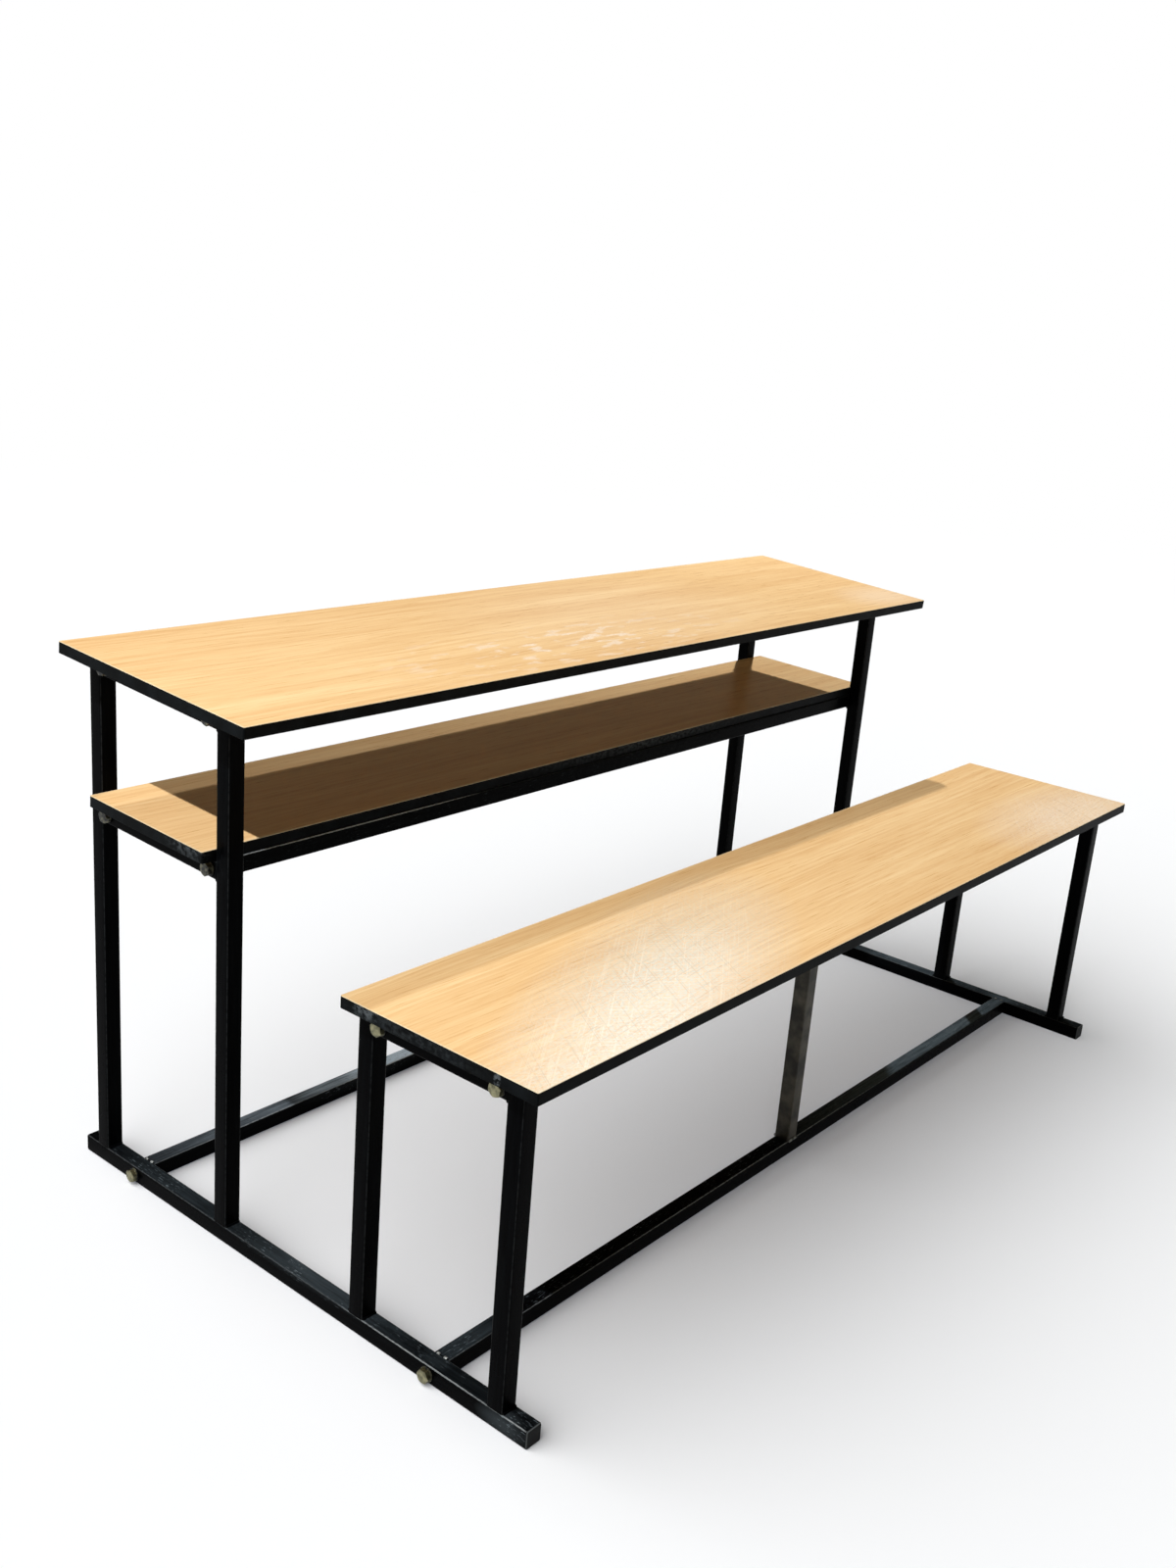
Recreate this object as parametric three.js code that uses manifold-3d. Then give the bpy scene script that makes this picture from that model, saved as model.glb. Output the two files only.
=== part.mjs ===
// School desk with bench: a bolted steel frame with a desktop, a book shelf and a seat.
// Lengths are in millimetres. X runs along the seat, Y from the bench to the desk, Z up.
// The origin is on the floor, under the middle of the whole piece of furniture.
import * as THREE from 'three';
import { mergeVertices } from 'three/addons/utils/BufferGeometryUtils.js';
import Module from 'manifold-3d';

const wasm = await Module();
wasm.setup();

// Square steel tube, the same stock in every frame member
const tubeSide = 25;
const tubeWall = 1.5;
const tubeCornerRadius = 2.5;

// End frames: the span over both, and each foot rail from its bench end to its desk end
const frameSpan = 1566;
const frontOverhang = 40;
const benchLegPitch = 239;
const legroomPitch = 273;
const deskLegPitch = 274;
const rearOverhang = 29;

// Stretchers on the floor, each measured from the middle of its front leg
const benchStretcherOffset = 109.5;
const deskStretcherOffset = 195.5;

// Boards: a core with a band round its edge, and a laminate sheet glued over both
const coreThickness = 15;
const laminateThickness = 0.8;
const bandThickness = 2;
const glueLine = 0.3;
const boardCornerRadius = 2;

// Desktop, which slopes down to the seat. Each board reaches past both end frames.
const desktopEndReach = 39.5;
const desktopDepth = 387;
const desktopFrontHeight = 750;
const desktopFrontReach = 79;
const desktopSlope = THREE.MathUtils.degToRad(4);

// Book shelf, which lies between the front and rear legs of the desk
const shelfEndReach = 20;
const shelfFrontHeight = 560.5;
const shelfLegClearance = 1.5;
const shelfSlope = THREE.MathUtils.degToRad(2.3);

// Bench seat
const benchEndReach = 18.5;
const benchDepth = 311;
const benchHeight = 460;
const benchFrontReach = 34;

// Hexagon bolts with a plain washer, and the nut plates that they screw into
const boltDiameter = 10;
const boltLength = 36;
const boltTipChamfer = 1;
const boltHeadAcrossFlats = 17;
const boltHeadHeight = 6.4;
const boltHeadChamfer = 1;
const washerDiameter = 20;
const washerThickness = 2;
const boltHoleClearance = 0.5;
const nutPlateThickness = 5;
const nutPlateBoreClearance = 0.3;

// Push-in end caps of the foot rails
const capFlangeThickness = 2;
const capPlugDepth = 16;
const capPlugWall = 1.6;
const capPlugClearance = 0.3;

// Gap between pieces that are cut to each other or meet at a slope
const seatGap = 0.3;

// Overrun of every cutting tool, and the sides of round corners, holes and bolt heads.
// A quarter arc of an outline gets two facets for each corner step.
const cutOverrun = 5;
const cornerSteps = 1;
const hexSides = 6;
const roundSides = 3 * hexSides;

// Places and sizes that follow from the values above
const boardThickness = coreThickness + glueLine + laminateThickness;
const tubeDepth = boardThickness + seatGap + tubeSide / 2;
const footLength = frontOverhang + benchLegPitch + legroomPitch + deskLegPitch + tubeSide + rearOverhang;
const footFrontY = -footLength / 2;
const benchFrontLegY = footFrontY + frontOverhang + tubeSide / 2;
const benchRearLegY = benchFrontLegY + benchLegPitch;
const deskFrontLegY = benchRearLegY + legroomPitch;
const deskRearLegY = deskFrontLegY + deskLegPitch;
const frameX = (frameSpan - tubeSide) / 2;
const innerSpan = frameSpan - 2 * tubeSide;

const sides = { left: -1, right: 1 };

const stretcherPlaces = {
  bench_stretcher: benchFrontLegY + benchStretcherOffset,
  desk_stretcher: deskFrontLegY + deskStretcherOffset,
};

// Each board: its outline, the slope it lies at, and the legs on both sides of its tubes
const boards = {
  desktop: {
    length: frameSpan + 2 * desktopEndReach,
    depth: desktopDepth,
    slope: desktopSlope,
    frontY: deskFrontLegY - tubeSide / 2 - desktopFrontReach,
    frontHeight: desktopFrontHeight,
    frontLegY: deskFrontLegY,
    rearLegY: deskRearLegY,
  },
  shelf: {
    length: frameSpan + 2 * shelfEndReach,
    depth: (deskLegPitch - tubeSide - 2 * shelfLegClearance) / Math.cos(shelfSlope),
    slope: shelfSlope,
    frontY: deskFrontLegY + tubeSide / 2 + shelfLegClearance,
    frontHeight: shelfFrontHeight,
    frontLegY: deskFrontLegY,
    rearLegY: deskRearLegY,
  },
  bench: {
    length: frameSpan + 2 * benchEndReach,
    depth: benchDepth,
    slope: 0,
    frontY: benchFrontLegY - tubeSide / 2 - benchFrontReach,
    frontHeight: benchHeight,
    frontLegY: benchFrontLegY,
    rearLegY: benchRearLegY,
  },
};

const finishes = {
  blackPaint: { color: 0x14171a, roughness: 0.42, metalness: 0.1 },
  bareSteel: { color: 0x625b49, roughness: 0.5, metalness: 0.6 },
  zincPlate: { color: 0xaaa283, roughness: 0.4, metalness: 0.9 },
  blackPlastic: { color: 0x121314, roughness: 0.5, metalness: 0 },
  edgeBand: { color: 0x1b2024, roughness: 0.4, metalness: 0 },
  laminate: { color: 0xe8c08a, roughness: 0.35, metalness: 0 },
  boardCore: { color: 0xa98a63, roughness: 0.8, metalness: 0 },
};

// A closed three.js geometry as a solid that can be joined and cut
function toSolid(geometry) {
  geometry.deleteAttribute('normal');
  geometry.deleteAttribute('uv');
  const merged = mergeVertices(geometry);
  return new wasm.Manifold(
    new wasm.Mesh({
      numProp: 3,
      vertProperties: new Float32Array(merged.attributes.position.array),
      triVerts: new Uint32Array(merged.index.array),
    }),
  );
}

// A named mesh made of a solid, with a material of its own
function makePiece(name, solid, finish) {
  const { vertProperties, triVerts } = solid.getMesh();
  const geometry = new THREE.BufferGeometry();
  geometry.setAttribute('position', new THREE.BufferAttribute(vertProperties, 3));
  geometry.setIndex(new THREE.BufferAttribute(triVerts, 1));
  geometry.computeVertexNormals();
  const piece = new THREE.Mesh(geometry, new THREE.MeshStandardMaterial(finishes[finish]));
  piece.name = name;
  return piece;
}

// Rectangle round the origin with rounded corners
function roundedRectangle(width, depth, radius) {
  const x = width / 2 - radius;
  const y = depth / 2 - radius;
  const quarter = Math.PI / 2;
  const shape = new THREE.Shape();
  shape.absarc(x, y, radius, 0, quarter, false);
  shape.absarc(-x, y, radius, quarter, 2 * quarter, false);
  shape.absarc(-x, -y, radius, 2 * quarter, 3 * quarter, false);
  shape.absarc(x, -y, radius, 3 * quarter, 4 * quarter, false);
  shape.closePath();
  return shape;
}

// Prism over an outline, from z = 0 up to its height
function prism(shape, height) {
  return new THREE.ExtrudeGeometry(shape, { depth: height, bevelEnabled: false, curveSegments: cornerSteps });
}

// Square tube, open at both ends, that stands on z = 0
function uprightTube(length) {
  const bore = tubeSide - 2 * tubeWall;
  const section = roundedRectangle(tubeSide, tubeSide, tubeCornerRadius);
  section.holes.push(roundedRectangle(bore, bore, tubeCornerRadius - tubeWall));
  return prism(section, length);
}

// Square tube along X with its middle at the origin
function tubeAlongX(length) {
  return uprightTube(length).translate(0, 0, -length / 2).rotateY(Math.PI / 2);
}

// Square tube along Y with its middle at the origin
function tubeAlongY(length) {
  return uprightTube(length).translate(0, 0, -length / 2).rotateX(Math.PI / 2);
}

// Round cutting tool along X with its middle at (x, y, 0)
function drill(diameter, length, x, y) {
  const rod = new THREE.CylinderGeometry(diameter / 2, diameter / 2, length, roundSides);
  return toSolid(rod.rotateZ(Math.PI / 2).translate(x, y, 0));
}

// Clearance hole for a bolt through both walls of a tube along Y
function boltHole(y) {
  return drill(boltDiameter + 2 * boltHoleClearance, tubeSide + 2 * cutOverrun, 0, y);
}

// Height of the tubes' and legs' tops under a board, at a place y
function supportHeight(board, y) {
  const drop = (boardThickness + seatGap) / Math.cos(board.slope);
  return board.frontHeight - drop + (y - board.frontY) * Math.tan(board.slope);
}

// Place along a board's slope of a tube under it whose middle lies at y
function placeOnSlope(board, y) {
  return (y - board.frontY - tubeDepth * Math.sin(board.slope)) / Math.cos(board.slope);
}

// Places along a board's slope of the two rails under it, which line up with the legs' inner faces
function railPlaces(board) {
  return {
    front: placeOnSlope(board, board.frontLegY + tubeSide),
    rear: placeOnSlope(board, board.rearLegY - tubeSide),
  };
}

// Foot rail, drilled for the bolts of the two stretchers
function makeFootRail() {
  let rail = toSolid(tubeAlongY(footLength - 2 * capFlangeThickness));
  for (const y of Object.values(stretcherPlaces)) {
    rail = rail.subtract(boltHole(y));
  }
  return rail;
}

// End cap whose flange starts at y = 0 and whose hollow plug points toward +Y
function makeFootCap() {
  const plugSide = tubeSide - 2 * tubeWall - 2 * capPlugClearance;
  const plugRadius = tubeCornerRadius - tubeWall;
  const hollowSide = plugSide - 2 * capPlugWall;
  const plugSection = roundedRectangle(plugSide, plugSide, plugRadius);
  plugSection.holes.push(roundedRectangle(hollowSide, hollowSide, plugRadius));
  const root = capFlangeThickness / 2;
  const plug = prism(plugSection, capPlugDepth + root).translate(0, 0, root);
  const flange = prism(roundedRectangle(tubeSide, tubeSide, tubeCornerRadius), capFlangeThickness);
  return toSolid(flange).add(toSolid(plug)).rotate([-90, 0, 0]);
}

// Leg at a place y, which stands on z = 0 and is cut off at the slope of the board above it
function makeLeg(board, y) {
  const length = supportHeight(board, y) - tubeSide;
  const blank = toSolid(uprightTube(length + tubeSide * Math.tan(board.slope) + cutOverrun));
  const cutterSide = 3 * tubeSide + 2 * cutOverrun;
  const cutter = new THREE.BoxGeometry(cutterSide, cutterSide, cutterSide);
  cutter.translate(0, 0, cutterSide / 2).rotateX(board.slope).translate(0, 0, length);
  return blank.subtract(toSolid(cutter));
}

// Cross tube between two legs, sheared so that its ends stand upright against them
function makeCrossTube(board, middle) {
  const clearPitch = board.rearLegY - board.frontLegY - tubeSide - 2 * seatGap;
  const upright = new THREE.Matrix4().makeShear(0, 0, 0, 0, 0, Math.tan(board.slope));
  let tube = toSolid(tubeAlongY(clearPitch / Math.cos(board.slope)).applyMatrix4(upright));
  for (const y of Object.values(railPlaces(board))) {
    tube = tube.subtract(boltHole(y - middle));
  }
  return tube;
}

// Rail or stretcher along X with a bored nut plate welded into each end
function makeRail(length) {
  const plateSide = tubeSide - tubeWall;
  const bore = boltDiameter + 2 * nutPlateBoreClearance;
  let rail = toSolid(tubeAlongX(length));
  for (const sign of Object.values(sides)) {
    const x = (sign * (length - nutPlateThickness)) / 2;
    const plate = prism(roundedRectangle(plateSide, plateSide, tubeCornerRadius), nutPlateThickness);
    plate.translate(0, 0, -nutPlateThickness / 2).rotateY(Math.PI / 2).translate(x, 0, 0);
    rail = rail.add(toSolid(plate)).subtract(drill(bore, nutPlateThickness + 2 * cutOverrun, x, 0));
  }
  return rail;
}

// Bolt along X with its washer bearing on x = 0 and its head toward -X
function makeBolt() {
  const flatRadius = boltHeadAcrossFlats / 2;
  const edgeRadius = flatRadius / Math.cos(Math.PI / hexSides);
  const shankRadius = boltDiameter / 2;
  const tip = -washerThickness - boltLength;
  const root = washerThickness / 2;
  const blankHeight = root + boltHeadHeight + cutOverrun;
  const head = new THREE.CylinderGeometry(edgeRadius, edgeRadius, blankHeight, hexSides);
  head.translate(0, blankHeight / 2 - root, 0);
  const chamfer = new THREE.LatheGeometry(
    [
      new THREE.Vector2(0, -washerThickness),
      new THREE.Vector2(edgeRadius, -washerThickness),
      new THREE.Vector2(edgeRadius, boltHeadHeight - boltHeadChamfer),
      new THREE.Vector2(flatRadius - boltHeadChamfer / 2, boltHeadHeight),
      new THREE.Vector2(0, boltHeadHeight),
    ],
    roundSides,
  );
  const shankAndWasher = new THREE.LatheGeometry(
    [
      new THREE.Vector2(0, tip),
      new THREE.Vector2(shankRadius - boltTipChamfer, tip),
      new THREE.Vector2(shankRadius, tip + boltTipChamfer),
      new THREE.Vector2(shankRadius, -washerThickness),
      new THREE.Vector2(washerDiameter / 2, -washerThickness),
      new THREE.Vector2(washerDiameter / 2, 0),
      new THREE.Vector2(0, 0),
    ],
    roundSides,
  );
  return toSolid(head)
    .intersect(toSolid(chamfer))
    .add(toSolid(shankAndWasher))
    .translate([0, washerThickness, 0])
    .rotate([0, 0, 90]);
}

// A bolt in the outer face of an end frame, at (y, z) in the group that holds it
function placeBolt(group, side, name, y, z) {
  const bolt = makePiece(`${side}_${name}_bolt`, makeBolt(), 'zincPlate');
  bolt.position.set(sides[side] * (frameSpan / 2 + seatGap), y, z);
  bolt.rotation.z = sides[side] > 0 ? Math.PI : 0;
  group.add(bolt);
}

const desk = new THREE.Group();

// End frames: a foot rail with its two caps, and four legs welded on it
const legs = {
  bench_front_leg: [boards.bench, benchFrontLegY],
  bench_rear_leg: [boards.bench, benchRearLegY],
  desk_front_leg: [boards.desktop, deskFrontLegY],
  desk_rear_leg: [boards.desktop, deskRearLegY],
};
for (const [side, sign] of Object.entries(sides)) {
  const frame = new THREE.Group();
  frame.position.x = sign * frameX;
  desk.add(frame);

  const footRail = makePiece(`${side}_foot_rail`, makeFootRail(), 'blackPaint');
  footRail.position.z = tubeSide / 2;
  frame.add(footRail);

  const frontCap = makePiece(`${side}_front_foot_cap`, makeFootCap(), 'blackPlastic');
  frontCap.position.set(0, footFrontY, tubeSide / 2);
  frame.add(frontCap);

  const rearCap = makePiece(`${side}_rear_foot_cap`, makeFootCap(), 'blackPlastic');
  rearCap.position.set(0, -footFrontY, tubeSide / 2);
  rearCap.rotation.z = Math.PI;
  frame.add(rearCap);

  for (const [name, [board, y]] of Object.entries(legs)) {
    const leg = makePiece(`${side}_${name}`, makeLeg(board, y), 'blackPaint');
    leg.position.set(0, y, tubeSide);
    frame.add(leg);
  }
}

// Stretchers between the foot rails, with the bolts that hold them
for (const [name, y] of Object.entries(stretcherPlaces)) {
  const stretcher = makePiece(name, makeRail(innerSpan), 'blackPaint');
  stretcher.position.set(0, y, tubeSide / 2);
  desk.add(stretcher);
  for (const side of Object.keys(sides)) {
    placeBolt(desk, side, name, y, tubeSide / 2);
  }
}

// Boards with the rails, cross tubes and bolts under them. Each group lies at its board's
// slope, with its origin on the front top edge of the board.
for (const [name, board] of Object.entries(boards)) {
  const group = new THREE.Group();
  group.position.set(0, board.frontY, board.frontHeight);
  group.rotation.x = board.slope;
  desk.add(group);

  const edge = bandThickness + glueLine;
  const coreBox = new THREE.BoxGeometry(board.length - 2 * edge, board.depth - 2 * edge, coreThickness);
  const core = makePiece(`${name}_board`, toSolid(coreBox), 'boardCore');
  core.position.set(0, board.depth / 2, coreThickness / 2 - boardThickness);
  group.add(core);

  const outline = roundedRectangle(board.length, board.depth, boardCornerRadius);
  const inside = new THREE.BoxGeometry(
    board.length - 2 * bandThickness,
    board.depth - 2 * bandThickness,
    2 * coreThickness + 2 * cutOverrun,
  );
  const ring = toSolid(prism(outline, coreThickness)).subtract(toSolid(inside));
  const band = makePiece(`${name}_edge_band`, ring, 'edgeBand');
  band.position.set(0, board.depth / 2, -boardThickness);
  group.add(band);

  const sheet = makePiece(`${name}_laminate`, toSolid(prism(outline, laminateThickness)), 'laminate');
  sheet.position.set(0, board.depth / 2, -laminateThickness);
  group.add(sheet);

  const crossTubePlace = placeOnSlope(board, (board.frontLegY + board.rearLegY) / 2);
  for (const [side, sign] of Object.entries(sides)) {
    const crossTube = makePiece(`${side}_${name}_cross_tube`, makeCrossTube(board, crossTubePlace), 'blackPaint');
    crossTube.position.set(sign * frameX, crossTubePlace, -tubeDepth);
    group.add(crossTube);
  }

  for (const [place, y] of Object.entries(railPlaces(board))) {
    const rail = makePiece(`${name}_${place}_rail`, makeRail(innerSpan - 2 * seatGap), 'blackPaint');
    rail.position.set(0, y, -tubeDepth);
    group.add(rail);
    for (const side of Object.keys(sides)) {
      placeBolt(group, side, `${name}_${place}`, y, -tubeDepth);
    }
  }
}

// Post on the bench stretcher, and the short tube between the bench rails that it carries
const postTop = supportHeight(boards.bench, stretcherPlaces.bench_stretcher) - tubeSide;
const post = makePiece('bench_mid_post', toSolid(uprightTube(postTop - tubeSide)), 'bareSteel');
post.position.set(0, stretcherPlaces.bench_stretcher, tubeSide);
desk.add(post);

const benchRails = railPlaces(boards.bench);
const midTubeLength = benchRails.rear - benchRails.front - tubeSide;
const midTube = makePiece('bench_mid_cross_tube', toSolid(tubeAlongY(midTubeLength)), 'blackPaint');
const midTubeY = boards.bench.frontY + (benchRails.front + benchRails.rear) / 2;
midTube.position.set(0, midTubeY, postTop + tubeSide / 2);
desk.add(midTube);

export default desk;
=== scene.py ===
# %% [markdown]
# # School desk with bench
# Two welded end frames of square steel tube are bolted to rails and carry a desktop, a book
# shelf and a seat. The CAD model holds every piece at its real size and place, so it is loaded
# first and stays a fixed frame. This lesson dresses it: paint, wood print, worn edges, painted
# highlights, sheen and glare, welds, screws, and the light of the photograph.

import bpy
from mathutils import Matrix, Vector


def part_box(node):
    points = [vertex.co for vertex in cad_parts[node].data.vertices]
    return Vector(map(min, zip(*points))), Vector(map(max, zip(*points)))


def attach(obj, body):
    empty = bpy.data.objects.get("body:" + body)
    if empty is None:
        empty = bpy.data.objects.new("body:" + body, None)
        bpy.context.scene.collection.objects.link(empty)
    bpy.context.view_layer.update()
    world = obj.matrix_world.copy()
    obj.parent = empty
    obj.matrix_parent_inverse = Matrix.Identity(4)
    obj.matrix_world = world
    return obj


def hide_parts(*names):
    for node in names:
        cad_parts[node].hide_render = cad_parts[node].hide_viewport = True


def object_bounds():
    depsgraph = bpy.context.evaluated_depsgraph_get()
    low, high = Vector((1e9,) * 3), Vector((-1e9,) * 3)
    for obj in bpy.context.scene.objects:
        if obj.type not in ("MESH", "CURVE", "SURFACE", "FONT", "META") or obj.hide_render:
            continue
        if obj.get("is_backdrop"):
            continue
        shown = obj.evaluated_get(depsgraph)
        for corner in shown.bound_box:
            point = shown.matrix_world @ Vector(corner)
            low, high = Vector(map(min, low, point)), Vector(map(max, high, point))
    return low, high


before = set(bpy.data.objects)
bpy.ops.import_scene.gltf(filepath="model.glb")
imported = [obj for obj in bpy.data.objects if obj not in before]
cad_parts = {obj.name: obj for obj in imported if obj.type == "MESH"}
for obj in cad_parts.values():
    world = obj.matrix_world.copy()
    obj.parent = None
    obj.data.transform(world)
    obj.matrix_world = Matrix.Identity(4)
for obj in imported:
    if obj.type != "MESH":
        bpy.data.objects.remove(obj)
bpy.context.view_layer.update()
print("CAD nodes:", len(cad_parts))

# %% [markdown]
# ## Modules and units
# Blender counts in metres, while a joiner and a welder think in millimetres. One constant lets
# every real size below be written in millimetres.

# %% Modules and units
import math

import bmesh
import bpy
from mathutils import Matrix, Vector

MM = 0.001
print("one millimetre is", MM, "m")

# %% [markdown]
# ## Camera
# The photograph was taken upright, from above the left end of the bench, with the phone tilted
# a little. Place, direction and focal length were solved from board corners, leg feet and
# bolts. Three turns in a row (compass, tilt, roll) say the same thing as a matrix, but each of
# them can be read and corrected by itself.

# %% Camera
IMAGE_HEIGHT = 1600
FOCAL_PIXELS = 1564
SENSOR_WIDTH = 36
CAMERA_PLACE = (-1.9005, -1.3489, 1.2432)
CAMERA_COMPASS = math.radians(-51.233)
CAMERA_TILT = math.radians(90 - 17.187)
CAMERA_ROLL = math.radians(4.648)

camera_data = bpy.data.cameras.new("photo_camera")
camera_data.sensor_width = SENSOR_WIDTH
camera_data.lens = FOCAL_PIXELS * SENSOR_WIDTH / IMAGE_HEIGHT
camera = bpy.data.objects.new("photo_camera", camera_data)
camera.matrix_world = (
    Matrix.Translation(CAMERA_PLACE)
    @ Matrix.Rotation(CAMERA_COMPASS, 4, "Z")
    @ Matrix.Rotation(CAMERA_TILT, 4, "X")
    @ Matrix.Rotation(CAMERA_ROLL, 4, "Z")
)
bpy.context.scene.collection.objects.link(camera)
bpy.context.scene.camera = camera
bpy.context.scene.view_settings.view_transform = "Standard"
print("lens:", round(camera_data.lens, 2), "mm")

# %% [markdown]
# ## Colours and nodes
# Paint charts and photo editors give sRGB colours, while a shader calculates with linear light,
# so one function turns a hex code into a linear colour. A second one adds any shader node with
# its values and links: a material then reads like a recipe, and nothing has to be dragged about
# in an editor.


# %% Colours and nodes
def linear(code):
    """An sRGB hex colour as the linear colour that a socket holds."""
    channels = [int(code[i : i + 2], 16) / 255 for i in (1, 3, 5)]
    curved = [c / 12.92 if c <= 0.04045 else ((c + 0.055) / 1.055) ** 2.4 for c in channels]
    return (*curved, 1.0)


def add_node(owner, kind, inputs=(), stops=(), **settings):
    """Adds a node to a material or world, sets and links its inputs, and returns its outputs."""
    tree = owner.node_tree
    node = tree.nodes.new("ShaderNode" + kind)
    for name, value in settings.items():
        setattr(node, name, value)
    for name, value in dict(inputs).items():
        if isinstance(value, bpy.types.NodeSocket):
            tree.links.new(value, node.inputs[name])
        else:
            node.inputs[name].default_value = value
    while stops and len(node.color_ramp.elements) < len(stops):
        node.color_ramp.elements.new(1.0)
    for element, (position, colour) in zip(node.color_ramp.elements if stops else (), stops):
        element.position = position
        element.color = colour
    return node.outputs


def new_material(name):
    """A material with an empty node tree."""
    material = bpy.data.materials.new(name)
    material.use_nodes = True
    material.node_tree.nodes.clear()
    return material


WHITE = linear("#FFFFFF")
print("mid grey #808080 in linear light:", round(linear("#808080")[0], 3))

# %% [markdown]
# ## Shares and layers
# A painter builds a surface in layers and knows where each of them lies. Here a share says it:
# 1 where a layer covers all, 0 where it is missing. Shares are multiplied where a mark needs
# all of them, or the strongest is taken where any will do, and then colours are laid one over
# the other. Working with layers keeps the recipes below short.

# %% Shares and layers
# A Mix node has a socket for each kind of value, so its colour sockets are picked by number.
MIX_SHARE, MIX_BELOW, MIX_ABOVE, MIX_RESULT = 0, 6, 7, 2


def product(owner, *shares):
    """Several shares multiplied: a mark where all of them meet."""
    total = shares[0]
    for share in shares[1:]:
        total = add_node(owner, "Math", {0: total, 1: share}, operation="MULTIPLY")[0]
    return total


def strongest(owner, *shares):
    """The largest of several shares at each place."""
    most = shares[0]
    for share in shares[1:]:
        most = add_node(owner, "Math", {0: most, 1: share}, operation="MAXIMUM")[0]
    return most


def layered(owner, base, *layers, how="MIX"):
    """A base colour under several layers, each given as its share and its colour."""
    for share, colour in layers:
        sockets = {MIX_SHARE: share, MIX_BELOW: base, MIX_ABOVE: colour}
        base = add_node(owner, "Mix", sockets, data_type="RGBA", blend_type=how)[MIX_RESULT]
    return base


print("colour sockets of a Mix node:", MIX_BELOW, MIX_ABOVE)

# %% [markdown]
# ## Light
# Sharp shadow edges in the photograph point back at two ceiling lamps: the lit strip at the
# left end of the shelf gives one over the left end, and the strips along the rear of the shelf
# and of the seat give one to the rear right. Two small lamps stand there and do nearly all the
# work. The broad glare on the seat needs a larger source than a lamp, so a reflector that shows
# in the gloss of the seat alone makes part of it, and the rest is a glare painted into the print.

# %% Lamps
LEFT_LAMP_PLACE = (-2.63, 0.125, 3.77)
LEFT_LAMP_TARGET = (-0.4, 0, 0.6)
LEFT_WATTS = 161
RIGHT_LAMP_PLACE = (1.93, 1.107, 2.26)
RIGHT_LAMP_TARGET = (0.3, 0, 0.6)
RIGHT_WATTS = 50
LAMP_SIZE = 0.05
REFLECTOR_PLACE = (2.15, 1.64, 2.11)
REFLECTOR_TARGET = (-0.5, -0.34, 0.46)
REFLECTOR_WATTS = 10
REFLECTOR_SIZE = 0.7


def add_lamp(name, place, target, size, power):
    """A square lamp at a place, turned to a target."""
    data = bpy.data.lights.new(name, "AREA")
    data.size = size
    data.energy = power
    lamp = bpy.data.objects.new(name, data)
    aim = Vector(target) - Vector(place)
    lamp.rotation_euler = aim.to_track_quat("-Z", "Y").to_euler()
    lamp.location = place
    bpy.context.scene.collection.objects.link(lamp)
    print(name, "is", round(aim.length, 2), "m from what it lights")
    return lamp


left_lamp = add_lamp("left_lamp", LEFT_LAMP_PLACE, LEFT_LAMP_TARGET, LAMP_SIZE, LEFT_WATTS)
right_lamp = add_lamp("right_lamp", RIGHT_LAMP_PLACE, RIGHT_LAMP_TARGET, LAMP_SIZE, RIGHT_WATTS)
reflector = add_lamp(
    "rear_reflector", REFLECTOR_PLACE, REFLECTOR_TARGET, REFLECTOR_SIZE, REFLECTOR_WATTS
)
right_lamp.visible_glossy = False
reflector.visible_diffuse = False

# %% [markdown]
# ## Room
# A pale room fills the shadows a little from all sides, and its world does that here. What is
# seen of it is another matter: the camera sees plain white, and gloss sees white near the
# horizon and a dim ceiling above. The Light Path node tells these rays from those that light
# the desk, so the white background adds no light to it.

# %% World
FILL = 0.13
FILL_TINT = linear("#FFF9DC")
REFLECTED_TOP = 0.09
HORIZON_BAND = (-0.02, 0.06)

world = bpy.data.worlds.new("pale_room")
world.use_nodes = True
world.node_tree.nodes.clear()
rays = add_node(world, "LightPath")
height = add_node(world, "SeparateXYZ", {0: add_node(world, "TexCoord")["Generated"]})["Z"]
ceiling = {"Value": height, "From Min": HORIZON_BAND[0], "From Max": HORIZON_BAND[1]}
ceiling.update({"To Min": 1.0, "To Max": REFLECTED_TOP})
mirrored = add_node(world, "MapRange", ceiling)["Result"]
in_gloss = product(world, rays["Is Glossy Ray"], mirrored)
shown = strongest(world, rays["Is Camera Ray"], rays["Is Transmission Ray"], in_gloss)
strength = strongest(world, shown, FILL)
tint = layered(world, FILL_TINT, (shown, WHITE))
background = add_node(world, "Background", {"Color": tint, "Strength": strength})
add_node(world, "OutputWorld", {"Surface": background["Background"]})
bpy.context.scene.world = world
print("the room fills the shadows with", FILL, "of white")

# %% [markdown]
# ## Floor
# The photograph stands on a white sweep that keeps only one broad pale shadow. A large flat
# sheet of paper does as well, because far away it fades into the white background, so that no
# horizon shows. The room's fill is warm, and a trace of blue glow in the paper keeps the shadow
# neutral all the same.

# %% Floor
FLOOR_HALF = 30
FADE_START = 3.5
FADE_END = 9.0
FLOOR_WHITE = linear("#F3F4F6")
FLOOR_GREY = linear("#A0A0A0")
FLOOR_BLUE = linear("#4C8CFF")
FLOOR_GLOW = 0.022

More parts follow.
